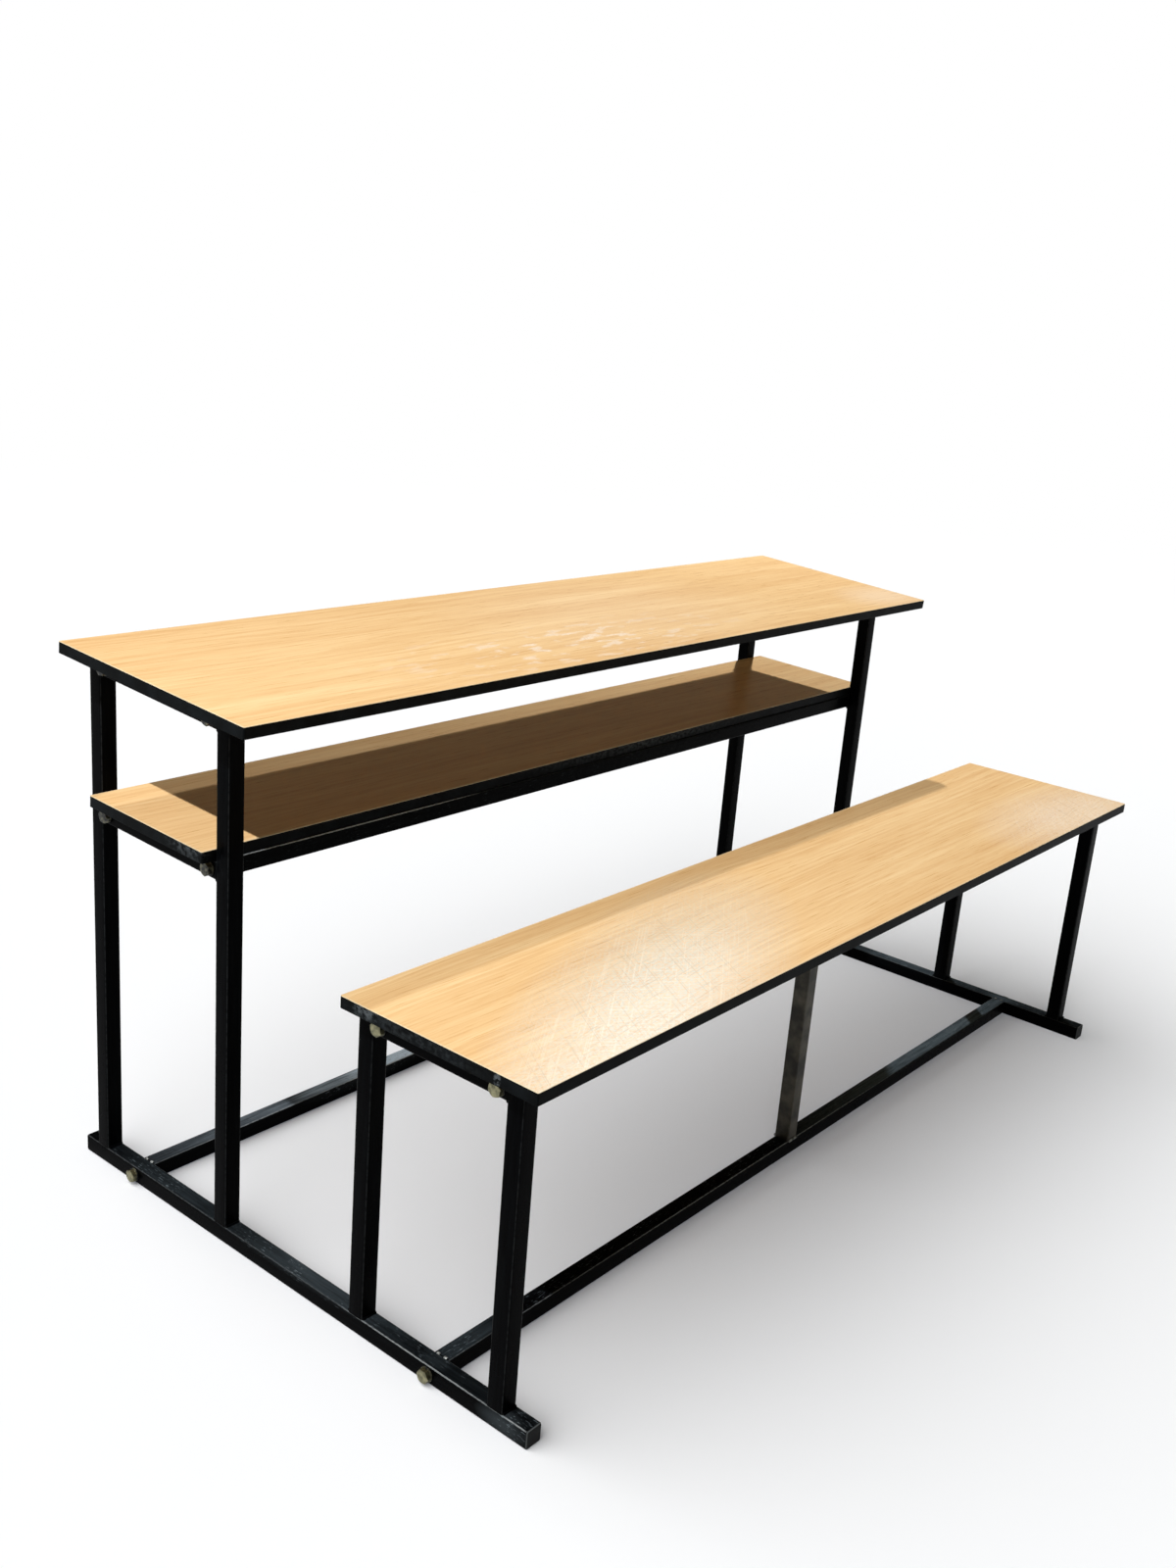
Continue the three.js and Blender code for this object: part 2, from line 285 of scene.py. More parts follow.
floor_mesh = bmesh.new()
bmesh.ops.create_grid(floor_mesh, x_segments=2, y_segments=2, size=FLOOR_HALF)
floor_data = bpy.data.meshes.new("floor")
floor_mesh.to_mesh(floor_data)
floor_mesh.free()
floor = bpy.data.objects.new("floor", floor_data)
bpy.context.scene.collection.objects.link(floor)
floor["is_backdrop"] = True

# Matt paper has no gloss at all: the eye sees an even white, and only the shadow on it. The
# light that it throws back at the desk is greyer than what is seen of it.
paper = new_material("white_paper_sweep")
place = add_node(paper, "TexCoord")["Object"]
reach = add_node(paper, "VectorMath", {0: place}, operation="LENGTH")["Value"]
fading = {"Value": reach, "From Min": FADE_START, "From Max": FADE_END}
fade = add_node(paper, "MapRange", fading)["Result"]
rays = add_node(paper, "LightPath")
shown = strongest(
    paper, rays["Is Camera Ray"], rays["Is Glossy Ray"], rays["Is Transmission Ray"]
)
tone = layered(paper, FLOOR_GREY, (shown, FLOOR_WHITE))
matt = add_node(paper, "BsdfDiffuse", {"Color": tone})["BSDF"]
own = product(paper, shown, FLOOR_GLOW)
glow = add_node(paper, "Emission", {"Color": FLOOR_BLUE, "Strength": own})["Emission"]
near = add_node(paper, "AddShader", {0: matt, 1: glow})["Shader"]
far = add_node(paper, "Emission", {"Color": WHITE, "Strength": 1.0})["Emission"]
sweep = add_node(paper, "MixShader", {0: fade, 1: near, 2: far})["Shader"]
add_node(paper, "OutputMaterial", {"Surface": sweep})
floor_data.materials.append(paper)
print("floor:", 2 * FLOOR_HALF, "m wide, fading from", FADE_START, "to", FADE_END, "m")

# %% [markdown]
# ## Sun for the floor
# A shadow is as soft as its light is wide. The one under the desk has hardly any edge, while
# the lamps draw hard ones on the boards, so the floor gets a lamp of its own. Light linking
# lets a very wide sun light the floor alone, and keeps the small lamps off it.

# %% Sun for the floor
SUN_SHARE = 0.99
SUN_SPREAD = math.radians(96)
SUN_TOWARDS = Vector((0.95, -0.42, -1))

sun_data = bpy.data.lights.new("floor_sun", "SUN")
sun_data.angle = SUN_SPREAD
# Pi is the strength at which a sun shows a face that looks at it in the face's own colour, and
# the length makes up for the slant at which it meets the floor.
sun_data.energy = SUN_SHARE * math.pi * SUN_TOWARDS.length
floor_sun = bpy.data.objects.new("floor_sun", sun_data)
floor_sun.rotation_euler = SUN_TOWARDS.to_track_quat("-Z", "Y").to_euler()
bpy.context.scene.collection.objects.link(floor_sun)

for lamp in (floor_sun, left_lamp, right_lamp):
    receivers = bpy.data.collections.new(lamp.name + "_receivers")
    receivers.objects.link(floor)
    state = "INCLUDE" if lamp is floor_sun else "EXCLUDE"
    receivers.collection_objects[0].light_linking.link_state = state
    lamp.light_linking.receiver_collection = receivers
    print(lamp.name, "on the floor:", state)

# %% [markdown]
# ## Marks of use
# Years of use leave marks in certain places, not evenly. A few functions make them for every
# finish: an oval place that fades out, noise whose features have a real size, and thin
# hairlines, which are the crests of a noise that is drawn out along the scratch. A Mapping node
# of the Texture type divides by its scale, so a real size in metres goes in.

# %% Marks of use
# A rubbed place is at its strongest over this much of its reach.
PLACE_CORE = 0.25
NOISE_ROUGHNESS = 0.55
CREST_HEIGHT = 0.68
CREST_EDGE = 0.08


def rubbed_place(owner, middle, reach, turn=0):
    """1 in the middle of an oval place on the object, and 0 past its reach. It may be turned
    on a level face, by degrees."""
    here = add_node(owner, "TexCoord")["Object"]
    turned = (0, 0, math.radians(turn))
    local = {"Vector": here, "Location": middle, "Scale": reach, "Rotation": turned}
    away = add_node(owner, "Mapping", local, vector_type="TEXTURE")["Vector"]
    distance = add_node(owner, "VectorMath", {0: away}, operation="LENGTH")["Value"]
    fading = {"Value": distance, "From Min": 1.0, "From Max": PLACE_CORE}
    return add_node(owner, "MapRange", fading)["Result"]


def rubbed_places(owner, spots):
    """The strongest of several rubbed places, each with a middle, a reach and a strength."""
    shares = [product(owner, rubbed_place(owner, *where), strength) for *where, strength in spots]
    return strongest(owner, *shares)


def noise(owner, source, size, detail=2.0):
    """Noise whose features have a real size along X, Y and Z, in metres."""
    drawn = {"Vector": source, "Scale": size}
    scaled = add_node(owner, "Mapping", drawn, vector_type="TEXTURE")["Vector"]
    waves = {"Vector": scaled, "Scale": 1.0, "Detail": detail, "Roughness": NOISE_ROUGHNESS}
    return add_node(owner, "TexNoise", waves)["Fac"]


def hairlines(owner, length, width, turn, amount):
    """Thin scratches in one direction: the highest crests of a noise drawn out along them."""
    here = add_node(owner, "TexCoord")["Object"]
    turned = (0, 0, math.radians(turn))
    drawn = {"Vector": here, "Rotation": turned, "Scale": (length, width, width)}
    lines = add_node(owner, "Mapping", drawn, vector_type="TEXTURE")["Vector"]
    crests = add_node(owner, "TexNoise", {"Vector": lines, "Scale": 1.0, "Detail": 1.0})["Fac"]
    low = CREST_HEIGHT - amount
    kept = {"Value": crests, "From Min": low, "From Max": low + CREST_EDGE}
    return add_node(owner, "MapRange", kept)["Result"]


print("a rubbed place is full over", PLACE_CORE, "of its reach")

# %% [markdown]
# ## Wood print
# The three tops are a paper printed with light oak and pressed under melamine resin, which
# leaves an even satin skin. Real grain is a bundle of lines that bend together, so the place is
# bent first by a slow noise, and a noise drawn out along the board then draws the lines. Finer
# lines stand for pores, and their emboss breaks up the glare.

# %% Oak print
GRAIN = (320 * MM, 6 * MM, 90 * MM)
TONE = (600 * MM, 55 * MM, 90 * MM)
# Printed pores are thinner than a millimetre, and are drawn coarser so that they show.
PORES = (60 * MM, 2.4 * MM, 20 * MM)
BEND = (500 * MM, 130 * MM, 90 * MM)
BEND_DEPTH = 16 * MM
GRAIN_STOPS = [(0.32, linear("#E9C08A")), (0.5, linear("#F0CA94")), (0.70, linear("#F6D4A1"))]
TONE_STOPS = [(0.32, linear("#F5EEE6")), (0.68, WHITE)]
PORE_STOPS = [(0.32, linear("#F5EEE5")), (0.50, WHITE)]

# A print under resin: the eye sees calm warm stripes below a skin that shines only softly.
oak = new_material("oak_print_melamine")
place = add_node(oak, "TexCoord")["Object"]
slow = {"Value": noise(oak, place, BEND), "To Min": -BEND_DEPTH, "To Max": BEND_DEPTH}
sway = add_node(oak, "MapRange", slow)["Result"]
sideways = add_node(oak, "CombineXYZ", {"Y": sway})["Vector"]
bent = add_node(oak, "VectorMath", {0: place, 1: sideways}, operation="ADD")["Vector"]
grain = add_node(oak, "ValToRGB", {"Fac": noise(oak, bent, GRAIN)}, stops=GRAIN_STOPS)["Color"]
tone = add_node(oak, "ValToRGB", {"Fac": noise(oak, place, TONE)}, stops=TONE_STOPS)["Color"]
pores = noise(oak, bent, PORES, 3.0)
pore_tint = add_node(oak, "ValToRGB", {"Fac": pores}, stops=PORE_STOPS)["Color"]
printed = layered(oak, grain, (1.0, tone), (1.0, pore_tint), how="MULTIPLY")
print("print nodes:", len(oak.node_tree.nodes))

# %% [markdown]
# ## Where the print is paler
# Where people sit and write, the print is paler in places. Over the near half of the seat the
# pale is wear from sitting with a painted glare of the seat's gloss laid over it, and at the far
# end of the desktop it is a painted reflection. The far end of the seat is paler in flecks, the
# middle of the desktop in a faint wash, and blotches along the desktop's front are scuffs. Each
# place is an oval that can be moved by hand, and the emboss breaks it up, because the high
# points of a surface wear first.

# %% Paler places of the print
# The polished oval and the near corner of the seat carry a painted glare over wear from sitting.
SEAT_GLARE_AND_WEAR = ((-0.52, -0.37, 0.46), (0.50, 0.16, 0.05), 22)
SEAT_NEAR_CORNER = ((-0.70, -0.44, 0.46), (0.26, 0.11, 0.05))
SEAT_FAR_END = ((0.66, -0.40, 0.46), (0.30, 0.14, 0.05))
DESK_MIDDLE = ((0.10, 0.22, 0.763), (0.42, 0.28, 0.05))
# A painted reflection at the far end of the desktop.
DESK_FAR_END = ((0.76, 0.09, 0.755), (0.14, 0.09, 0.03))
DESK_SCUFFED = ((-0.10, 0.12, 0.757), (0.50, 0.14, 0.03))
SEAT_END_PALING = 0.85
DESK_MIDDLE_PALING = 0.14
DESK_END_REFLECTION = 0.4
SCUFF_WEAR = 0.75
BLOTCH = (48 * MM, 15 * MM, 30 * MM)
BLOTCH_EDGE = {"From Min": 0.545, "From Max": 0.61}
# The real emboss is finer than a millimetre, which no render would show, so it is drawn a few
# times coarser.
LEATHER_EMBOSS = (5 * MM, 3.5 * MM, 4 * MM)
SPARKLE_EDGE = {"From Min": 0.35, "From Max": 0.6, "To Min": 0.3}
# Seat pale: painted glare over wear. Desk pale: painted far-end reflection, scuffs, paler places.
SEAT_PALE = linear("#D9D3C4")
DESK_PALE = linear("#F6E2CC")

blotches = noise(oak, place, BLOTCH, 6.0)
scuff_share = add_node(oak, "MapRange", {"Value": blotches, **BLOTCH_EDGE})["Result"]
emboss = noise(oak, place, LEATHER_EMBOSS)
sparkle = add_node(oak, "MapRange", {"Value": emboss, **SPARKLE_EDGE})["Result"]
# Painted glare of the seat, laid over wear from sitting.
near_corner = product(oak, rubbed_place(oak, *SEAT_NEAR_CORNER), SEAT_END_PALING)
glare_and_wear = strongest(oak, rubbed_place(oak, *SEAT_GLARE_AND_WEAR), near_corner)
far_seat = product(oak, rubbed_place(oak, *SEAT_FAR_END), SEAT_END_PALING)
desk_middle = product(oak, rubbed_place(oak, *DESK_MIDDLE), DESK_MIDDLE_PALING)
# Painted reflection at the far end of the desktop.
far_desk_reflection = product(oak, rubbed_place(oak, *DESK_FAR_END), DESK_END_REFLECTION)
scuffed = product(oak, rubbed_place(oak, *DESK_SCUFFED), scuff_share)
far_flecks = product(oak, far_seat, sparkle)
pale_share = strongest(oak, desk_middle, far_desk_reflection, far_flecks, product(oak, scuffed, SCUFF_WEAR))
paled = layered(oak, printed, (product(oak, glare_and_wear, sparkle), SEAT_PALE), (pale_share, DESK_PALE))
print("print nodes with wear:", len(oak.node_tree.nodes))

# %% [markdown]
# ## Scratches and skin of the print
# Whatever slides over the boards leaves pale hair scratches in the resin, and some are deep
# enough to look brown. Both kinds cross the board in two directions each, and there are more of
# them where it is used. The rim of a sheet catches a paler line, and a shallow bump of pores and
# emboss keeps the gloss from looking like glass.

# %% Scratches and skin of the print
# A real scratch is a few tenths of a millimetre wide. It would not show, so it is drawn coarser.
PALE_HAIRS = [(90 * MM, 1.8 * MM, 34, 0.09), (70 * MM, 1.8 * MM, -38, 0.09)]
DARK_CUTS = [(110 * MM, 1.8 * MM, 58, 0.07), (140 * MM, 1.8 * MM, 7, 0.07)]
SCUFF_USE = 0.8
LEAST_USE = 0.05
HAIR_STRENGTH = 0.3
CUT_STRENGTH = 0.26
RIM_STRENGTH = 0.4
PRINT_GLOSS = {"To Min": 0.24, "To Max": 0.34}
EMBOSS_DEPTH = 0.03 * MM

used = strongest(oak, glare_and_wear, far_seat, product(oak, scuffed, SCUFF_USE), LEAST_USE)
hairs = product(oak, strongest(oak, *[hairlines(oak, *hair) for hair in PALE_HAIRS]), used)
cuts = product(oak, strongest(oak, *[hairlines(oak, *cut) for cut in DARK_CUTS]), used)
rim = add_node(oak, "Attribute", attribute_name="rim")["Fac"]
oak_colour = layered(
    oak,
    paled,
    (product(oak, hairs, HAIR_STRENGTH), linear("#FBF3E4")),
    (product(oak, cuts, CUT_STRENGTH), linear("#A98658")),
    (product(oak, rim, RIM_STRENGTH), linear("#FBEBCB")),
)
gloss = add_node(oak, "MapRange", {"Value": pores, **PRINT_GLOSS})["Result"]
pressed = add_node(oak, "Math", {0: pores, 1: emboss}, operation="ADD")[0]
relief = add_node(oak, "Math", {0: pressed, 1: hairs}, operation="SUBTRACT")[0]
raised = {"Height": relief, "Distance": EMBOSS_DEPTH, "Strength": 1.0}
bump = add_node(oak, "Bump", raised)["Normal"]
satin = {"Base Color": oak_colour, "Roughness": gloss, "Normal": bump}
satin.update({"IOR": 1.5, "Specular IOR Level": 0.22})
add_node(oak, "OutputMaterial", {"Surface": add_node(oak, "BsdfPrincipled", satin)["BSDF"]})
print("print nodes in all:", len(oak.node_tree.nodes))

# %% [markdown]
# ## Resin edge of the sheets
# The saw cuts the printed sheet open, and its edge shows the resin and the paper without any
# print. It is less than a millimetre high, so an even cream is all that is ever seen of it.

# %% Resin edge of the sheets
# Sawn resin and paper: the eye sees a dull cream line between the print and the black band.
resin = new_material("cream_melamine_edge")
skin = {"Base Color": linear("#F3E3C0"), "Roughness": 0.5, "IOR": 1.5, "Specular IOR Level": 0.3}
add_node(resin, "OutputMaterial", {"Surface": add_node(resin, "BsdfPrincipled", skin)["BSDF"]})
print("resin edge nodes:", len(resin.node_tree.nodes))

# %% [markdown]
# ## Black enamel
# The tubes are brushed with black alkyd enamel over mill steel. It dries to a gloss skin with
# faint streaks. On the corners a thin grey line is painted: partly enamel rubbed through to the
# steel, and partly a painted highlight along the rounded corner. How far a point lies from the
# middle of its side comes from a UV map that is made with the tubes further down, so the line
# stays on the corner of every tube, however the tube lies.

# %% Rubbed and highlit corners of the enamel
TUBE_SIDE = 25 * MM
TUBE_CORNER = 2.5 * MM
HALF_SIDE = TUBE_SIDE / 2 - TUBE_CORNER + TUBE_CORNER * math.pi / 4
CORNER_LINE_REACH = 1.2 * MM
CORNER_LINE_CORE = 0.3 * MM
CORNER_LINE = {"From Min": HALF_SIDE - CORNER_LINE_REACH, "From Max": HALF_SIDE - CORNER_LINE_CORE}
CORNER_BREAK = (4 * MM, 8 * MM, 1)
CORNER_GAPS = {"From Min": 0.4, "From Max": 0.55, "To Min": 0.4}


def corner_rub_and_highlight(owner, side_map, bright_corners, least_line):
    """The broken line along the corners of a tube: enamel rubbed through, and a painted highlight.
    """
    across = add_node(owner, "SeparateXYZ", {0: side_map})["X"]
    from_middle = add_node(owner, "Math", {0: across}, operation="ABSOLUTE")[0]
    line = add_node(owner, "MapRange", {"Value": from_middle, **CORNER_LINE})["Result"]
    gaps = {"Value": noise(owner, side_map, CORNER_BREAK), **CORNER_GAPS}
    broken = add_node(owner, "MapRange", gaps)["Result"]
    bright = strongest(owner, rubbed_places(owner, bright_corners), least_line)
    return product(owner, line, broken, bright)


print("from the middle of a side to its corner:", round(HALF_SIDE / MM, 2), "mm")

# %% [markdown]
# ## Dust, painted sheen and scrapes on the enamel
# Level faces are painted paler grey: partly dust that settles there, and partly a painted sheen
# that stands for the bright room seen in the gloss of their tops. Shoes scrape the tubes that
# lie on the floor, in short streaks along them. One function makes every version of the enamel
# from lists of places, so that all tubes share one paint and differ only in their wear and
# painted sheen.

# %% Brushed enamel
PATCH = (45 * MM, 45 * MM, 45 * MM)
BRUSH_STREAK = (5 * MM, 80 * MM, 1)
# Real scrapes are finer than this, and are drawn coarser so that they show.
SCRAPE = (1.8 * MM, 11 * MM, 1)
COAT_STOPS = [(0.4, linear("#030304")), (0.7, linear("#090B0D"))]
LEVEL_FACE = {"From Min": 0.5, "From Max": 0.95}
UNEVEN_GREY = {"From Min": 0.35, "From Max": 0.65, "To Min": 0.4}
SCRAPE_EDGE = {"From Min": 0.58, "From Max": 0.66}
PATCH_EDGE = {"From Min": 0.44, "From Max": 0.56}
ENAMEL_GLOSS = {"To Min": 0.16, "To Max": 0.42}
SCUFF_HAZE = 0.06
SCRAPE_AND_SHEEN_GREY = linear("#6B757C")
RUBBED_AND_HIGHLIGHT_GREY = linear("#C9D0D4")


def brushed_enamel(
    name, dust_and_sheen_places, dust_and_sheen_colour, wear, scuffs_and_sheen, bright_corners, least_line, bare_share
):
    """Black enamel: dust and painted sheen on level faces, scrapes, scuffs, rubbed and highlit
    corners.
    """
    paint = new_material(name)
    place = add_node(paint, "TexCoord")["Object"]
    patches = noise(paint, place, PATCH, 5.0)
    side_map = add_node(paint, "UVMap", uv_map="tube_side")["UV"]
    brushed = noise(paint, side_map, BRUSH_STREAK, 4.0)
    coat = add_node(paint, "ValToRGB", {"Fac": brushed}, stops=COAT_STOPS)["Color"]

    upward = add_node(paint, "SeparateXYZ", {0: add_node(paint, "NewGeometry")["Normal"]})["Z"]
    level_face = add_node(paint, "MapRange", {"Value": upward, **LEVEL_FACE})["Result"]
    uneven = add_node(paint, "MapRange", {"Value": brushed, **UNEVEN_GREY})["Result"]
    # Grey on level faces in the listed places: dust, together with a painted sheen.
    dust_and_sheen = product(paint, level_face, uneven, rubbed_places(paint, dust_and_sheen_places))

    streaks = noise(paint, side_map, SCRAPE, 4.0)
    thin = add_node(paint, "MapRange", {"Value": streaks, **SCRAPE_EDGE})["Result"]
    scraped = add_node(paint, "MapRange", {"Value": patches, **PATCH_EDGE})["Result"]
    # Scuffed places take a grey haze, which is a painted sheen on the desk stretcher.
    scuffed = rubbed_places(paint, scuffs_and_sheen)
    worn_face = strongest(paint, product(paint, level_face, wear), scuffed)
    # The corner line: enamel rubbed through, together with a painted highlight.
    rub_and_highlight = corner_rub_and_highlight(paint, side_map, bright_corners, least_line)
    colour = layered(
        paint,
        coat,
        (dust_and_sheen, dust_and_sheen_colour),
        (product(paint, scuffed, SCUFF_HAZE), SCRAPE_AND_SHEEN_GREY),
        (product(paint, thin, scraped, worn_face), SCRAPE_AND_SHEEN_GREY),
        (rub_and_highlight, RUBBED_AND_HIGHLIGHT_GREY),
    )
    gloss = add_node(paint, "MapRange", {"Value": patches, **ENAMEL_GLOSS})["Result"]
    skin = {"Base Color": colour, "Metallic": product(paint, rub_and_highlight, bare_share)}
    skin.update({"Roughness": gloss, "IOR": 1.5, "Specular IOR Level": 0.012})
    shader = add_node(paint, "BsdfPrincipled", skin)["BSDF"]
    add_node(paint, "OutputMaterial", {"Surface": shader})
    print(name, "nodes:", len(paint.node_tree.nodes))
    return paint


print("brush streaks:", [round(size / MM) for size in BRUSH_STREAK[:2]], "mm wide and long")

# %% [markdown]
# ## Enamel of the upper frame
# The upper tubes are out of reach of shoes. Their enamel is nearly whole: the eye sees a deep
# black gloss, a little dust on the shelf's front rail, and a bright line on that rail's corner.
# That line is mostly a painted highlight along the rounded corner, with a little bare steel
# where hands and books rub it.

# %% Enamel of the upper frame
DUST_AND_SHEEN_GREY = linear("#5A666E")
DUSTY_RAILS = [((-0.3, 0.15, 0.54), (0.8, 0.05, 0.05), 0.2)]
# A painted highlight along the front corner of the shelf's front rail, over a little bare steel.
BRIGHT_RAIL_CORNERS = [((-0.54, 0.137, 0.544), (0.24, 0.03, 0.02), 2.5)]

enamel = brushed_enamel(
    "black_alkyd_enamel",
    dust_and_sheen_places=DUSTY_RAILS,
    dust_and_sheen_colour=DUST_AND_SHEEN_GREY,
    wear=0.1,
    scuffs_and_sheen=DUSTY_RAILS,
    bright_corners=BRIGHT_RAIL_CORNERS,
    least_line=0.04,
    bare_share=0.15,
)

# %% [markdown]
# ## Enamel at the floor
# The foot rails and the bench stretcher are stepped on. The eye sees grey on their tops, which
# is dust and flecks with a painted sheen, and corners that are bright with bare steel and with a
# painted highlight. Each place has a middle, a reach and a strength, read from the photograph.

# %% Enamel at the floor
DUST_AND_SHEEN_FEET = [
    ((-0.77, 0.20, 0.025), (0.08, 0.22, 0.04), 0.16),
    ((-0.77, -0.08, 0.025), (0.08, 0.20, 0.04), 0.3),
    ((-0.77, -0.34, 0.025), (0.08, 0.16, 0.04), 0.06),
    ((0.45, -0.278, 0.025), (0.50, 0.06, 0.04), 1.2),
    ((-0.72, -0.278, 0.025), (0.10, 0.04, 0.04), 0.25),
    ((0.77, 0.0, 0.025), (0.08, 0.5, 0.04), 0.4),
]
SCUFFED_FEET = [
    ((-0.783, -0.400, 0.013), (0.02, 0.045, 0.018), 5.0),
    ((0.50, -0.278, 0.025), (0.30, 0.04, 0.008), 1.8),
    ((-0.77, -0.03, 0.025), (0.05, 0.16, 0.008), 1.3),
]
# Bright corner lines: bare steel together with a painted highlight.
BRIGHT_FOOT_CORNERS = [
    ((-0.783, -0.27, 0.025), (0.01, 0.17, 0.01), 1.0),
    ((-0.783, -0.42, 0.025), (0.01, 0.03, 0.01), 0.9),
    ((-0.15, -0.29, 0.025), (0.60, 0.01, 0.01), 0.7),
    ((0.50, -0.266, 0.025), (0.35, 0.01, 0.01), 1.0),
    ((0.783, 0.05, 0.025), (0.01, 0.50, 0.01), 0.9),
]

scuffed_enamel = brushed_enamel(
    "black_alkyd_enamel_scuffed",
    dust_and_sheen_places=DUST_AND_SHEEN_FEET,
    dust_and_sheen_colour=DUST_AND_SHEEN_GREY,
    wear=0.6,
    scuffs_and_sheen=SCUFFED_FEET,
    bright_corners=BRIGHT_FOOT_CORNERS,
    least_line=0.1,
    bare_share=0.8,
)

# %% [markdown]
# ## Painted sheen on the desk stretcher
# Feet rest on the desk stretcher, and the pale, bluish film on its top, thickest left of the
# middle, is a painted sheen: the bright room seen in its gloss. Where the left lamp's shadow
# falls on it, the sheen is painted brighter, which hides most of that shadow's edge. It is the
# same paint with a paler colour in place of dust, so the same function makes it.

# %% Painted sheen on the desk stretcher
# Ovals of painted sheen, brightest in the left lamp's shadow, where they hide its edge.
STRETCHER_SHEEN = [
    ((-0.53, 0.32, 0.025), (0.28, 0.06, 0.04), 0.15),
    ((-0.42, 0.32, 0.025), (0.10, 0.06, 0.04), 0.52),
    ((-0.28, 0.32, 0.025), (0.16, 0.06, 0.04), 1.7),
    ((0.20, 0.32, 0.025), (0.40, 0.06, 0.04), 0.1),
]
STRETCHER_SHEEN_HAZE = [((-0.36, 0.32, 0.025), (0.16, 0.04, 0.02), 2.0)]
# A painted highlight along the near corner of the stretcher.
STRETCHER_SHEEN_CORNERS = [
    ((-0.50, 0.307, 0.025), (0.34, 0.01, 0.01), 0.35),
    ((-0.32, 0.307, 0.025), (0.12, 0.02, 0.02), 1.5),
]

sheen_painted_enamel = brushed_enamel(
    "black_alkyd_enamel_painted_sheen",
    dust_and_sheen_places=STRETCHER_SHEEN,
    dust_and_sheen_colour=linear("#CBDBEA"),
    wear=0.6,
    scuffs_and_sheen=STRETCHER_SHEEN_HAZE,
    bright_corners=STRETCHER_SHEEN_CORNERS,
    least_line=0.1,
    bare_share=0.15,
)

# %% [markdown]
# ## Edge band
# A strip of black plastic is glued round each board. Legs and hands have rubbed it pale in a few
# places, most of them at the left end, and along the shelf's front a pale grey is a painted
# sheen. Flecks of noise inside ovals give such rubbing and sheen a grain, where an even grey
# would look like a stain.

# %% Edge band
BAND_PATCH = (30 * MM, 30 * MM, 30 * MM)
BAND_STOPS = [(0.4, linear("#0B0D0E")), (0.75, linear("#171B1E"))]
BAND_FLECK = (7 * MM, 7 * MM, 5 * MM)
FLECK_EDGE = {"From Min": 0.42, "From Max": 0.62}
BAND_SCUFFS_AND_SHEEN = [
    ((-0.80, -0.165, 0.455), (0.02, 0.030, 0.014), 1.0),
    ((-0.80, -0.375, 0.452), (0.02, 0.006, 0.010), 2.5),
    ((-0.80, -0.24, 0.452), (0.02, 0.14, 0.014), 0.2),
    ((-0.80, 0.17, 0.56), (0.02, 0.05, 0.02), 0.6),
    # A painted sheen along the shelf's front band.
    ((0.10, 0.138, 0.56), (0.35, 0.02, 0.02), 0.4),
]

# Extruded plastic: the eye sees an even near-black that hardly shines, with grey rubbed flecks
# and a painted sheen along the shelf's front.
band_black = new_material("black_abs_edge_band")
place = add_node(band_black, "TexCoord")["Object"]
patches = noise(band_black, place, BAND_PATCH, 5.0)
shade = add_node(band_black, "ValToRGB", {"Fac": patches}, stops=BAND_STOPS)["Color"]
flecks = noise(band_black, place, BAND_FLECK, 5.0)
fleck_share = add_node(band_black, "MapRange", {"Value": flecks, **FLECK_EDGE})["Result"]
rubbed_and_sheen = product(band_black, fleck_share, rubbed_places(band_black, BAND_SCUFFS_AND_SHEEN))
colour = layered(band_black, shade, (rubbed_and_sheen, linear("#5E6468")))
skin = {"Base Color": colour, "Roughness": 0.42, "IOR": 1.53, "Specular IOR Level": 0.02}
shader = add_node(band_black, "BsdfPrincipled", skin)["BSDF"]
add_node(band_black, "OutputMaterial", {"Surface": shader})
print("edge band nodes:", len(band_black.node_tree.nodes))

# %% [markdown]
# ## Plastic of the foot caps
# The caps are moulded of black polypropylene with a fine grain from the mould. The rounded rim
# is a little paler grey, and an attribute of the mesh says where that rim is.

# %% Plastic of the foot caps
# The grain of a real mould is too fine for a render, so it is drawn coarser.
CAP_GRAIN = 1.111 * MM
CAP_GRAIN_DEPTH = 0.05 * MM
CAP_RIM_STRENGTH = 0.35

# Moulded plastic: the eye sees a soft black without reflections, and a paler rim.
cap_black = new_material("black_polypropylene_moulded")
place = add_node(cap_black, "TexCoord")["Object"]
grit = add_node(cap_black, "TexNoise", {"Vector": place, "Scale": 1 / CAP_GRAIN})["Fac"]
bump = add_node(cap_black, "Bump", {"Height": grit, "Distance": CAP_GRAIN_DEPTH})["Normal"]
rim = add_node(cap_black, "Attribute", attribute_name="rim")["Fac"]
rim_share = product(cap_black, rim, CAP_RIM_STRENGTH)
colour = layered(cap_black, linear("#0D0F11"), (rim_share, linear("#959CA0")))
skin = {"Base Color": colour, "Roughness": 0.5, "Normal": bump}
skin.update({"IOR": 1.49, "Specular IOR Level": 0.08})
shader = add_node(cap_black, "BsdfPrincipled", skin)["BSDF"]
add_node(cap_black, "OutputMaterial", {"Surface": shader})
print("cap plastic nodes:", len(cap_black.node_tree.nodes))

# %% [markdown]
# ## Zinc plate
# Bolts and screws are zinc plated and dipped in a yellow passivation, which clouds with age.
# The upper bolts were caught by the brush, so most of their plate is under enamel. A noise
# between two colours makes both: clouds of plate, or plate that looks out of the paint.

# %% Zinc plate
ZINC_CLOUD = 6.25 * MM
ZINC_STOPS = [(0.35, linear("#5F5E4B")), (0.65, linear("#9A9677"))]
BRUSHED_CLOUD = (7 * MM, 7 * MM, 7 * MM)
BRUSHED_STOPS = [(0.42, linear("#15171A")), (0.62, linear("#6E6C58"))]

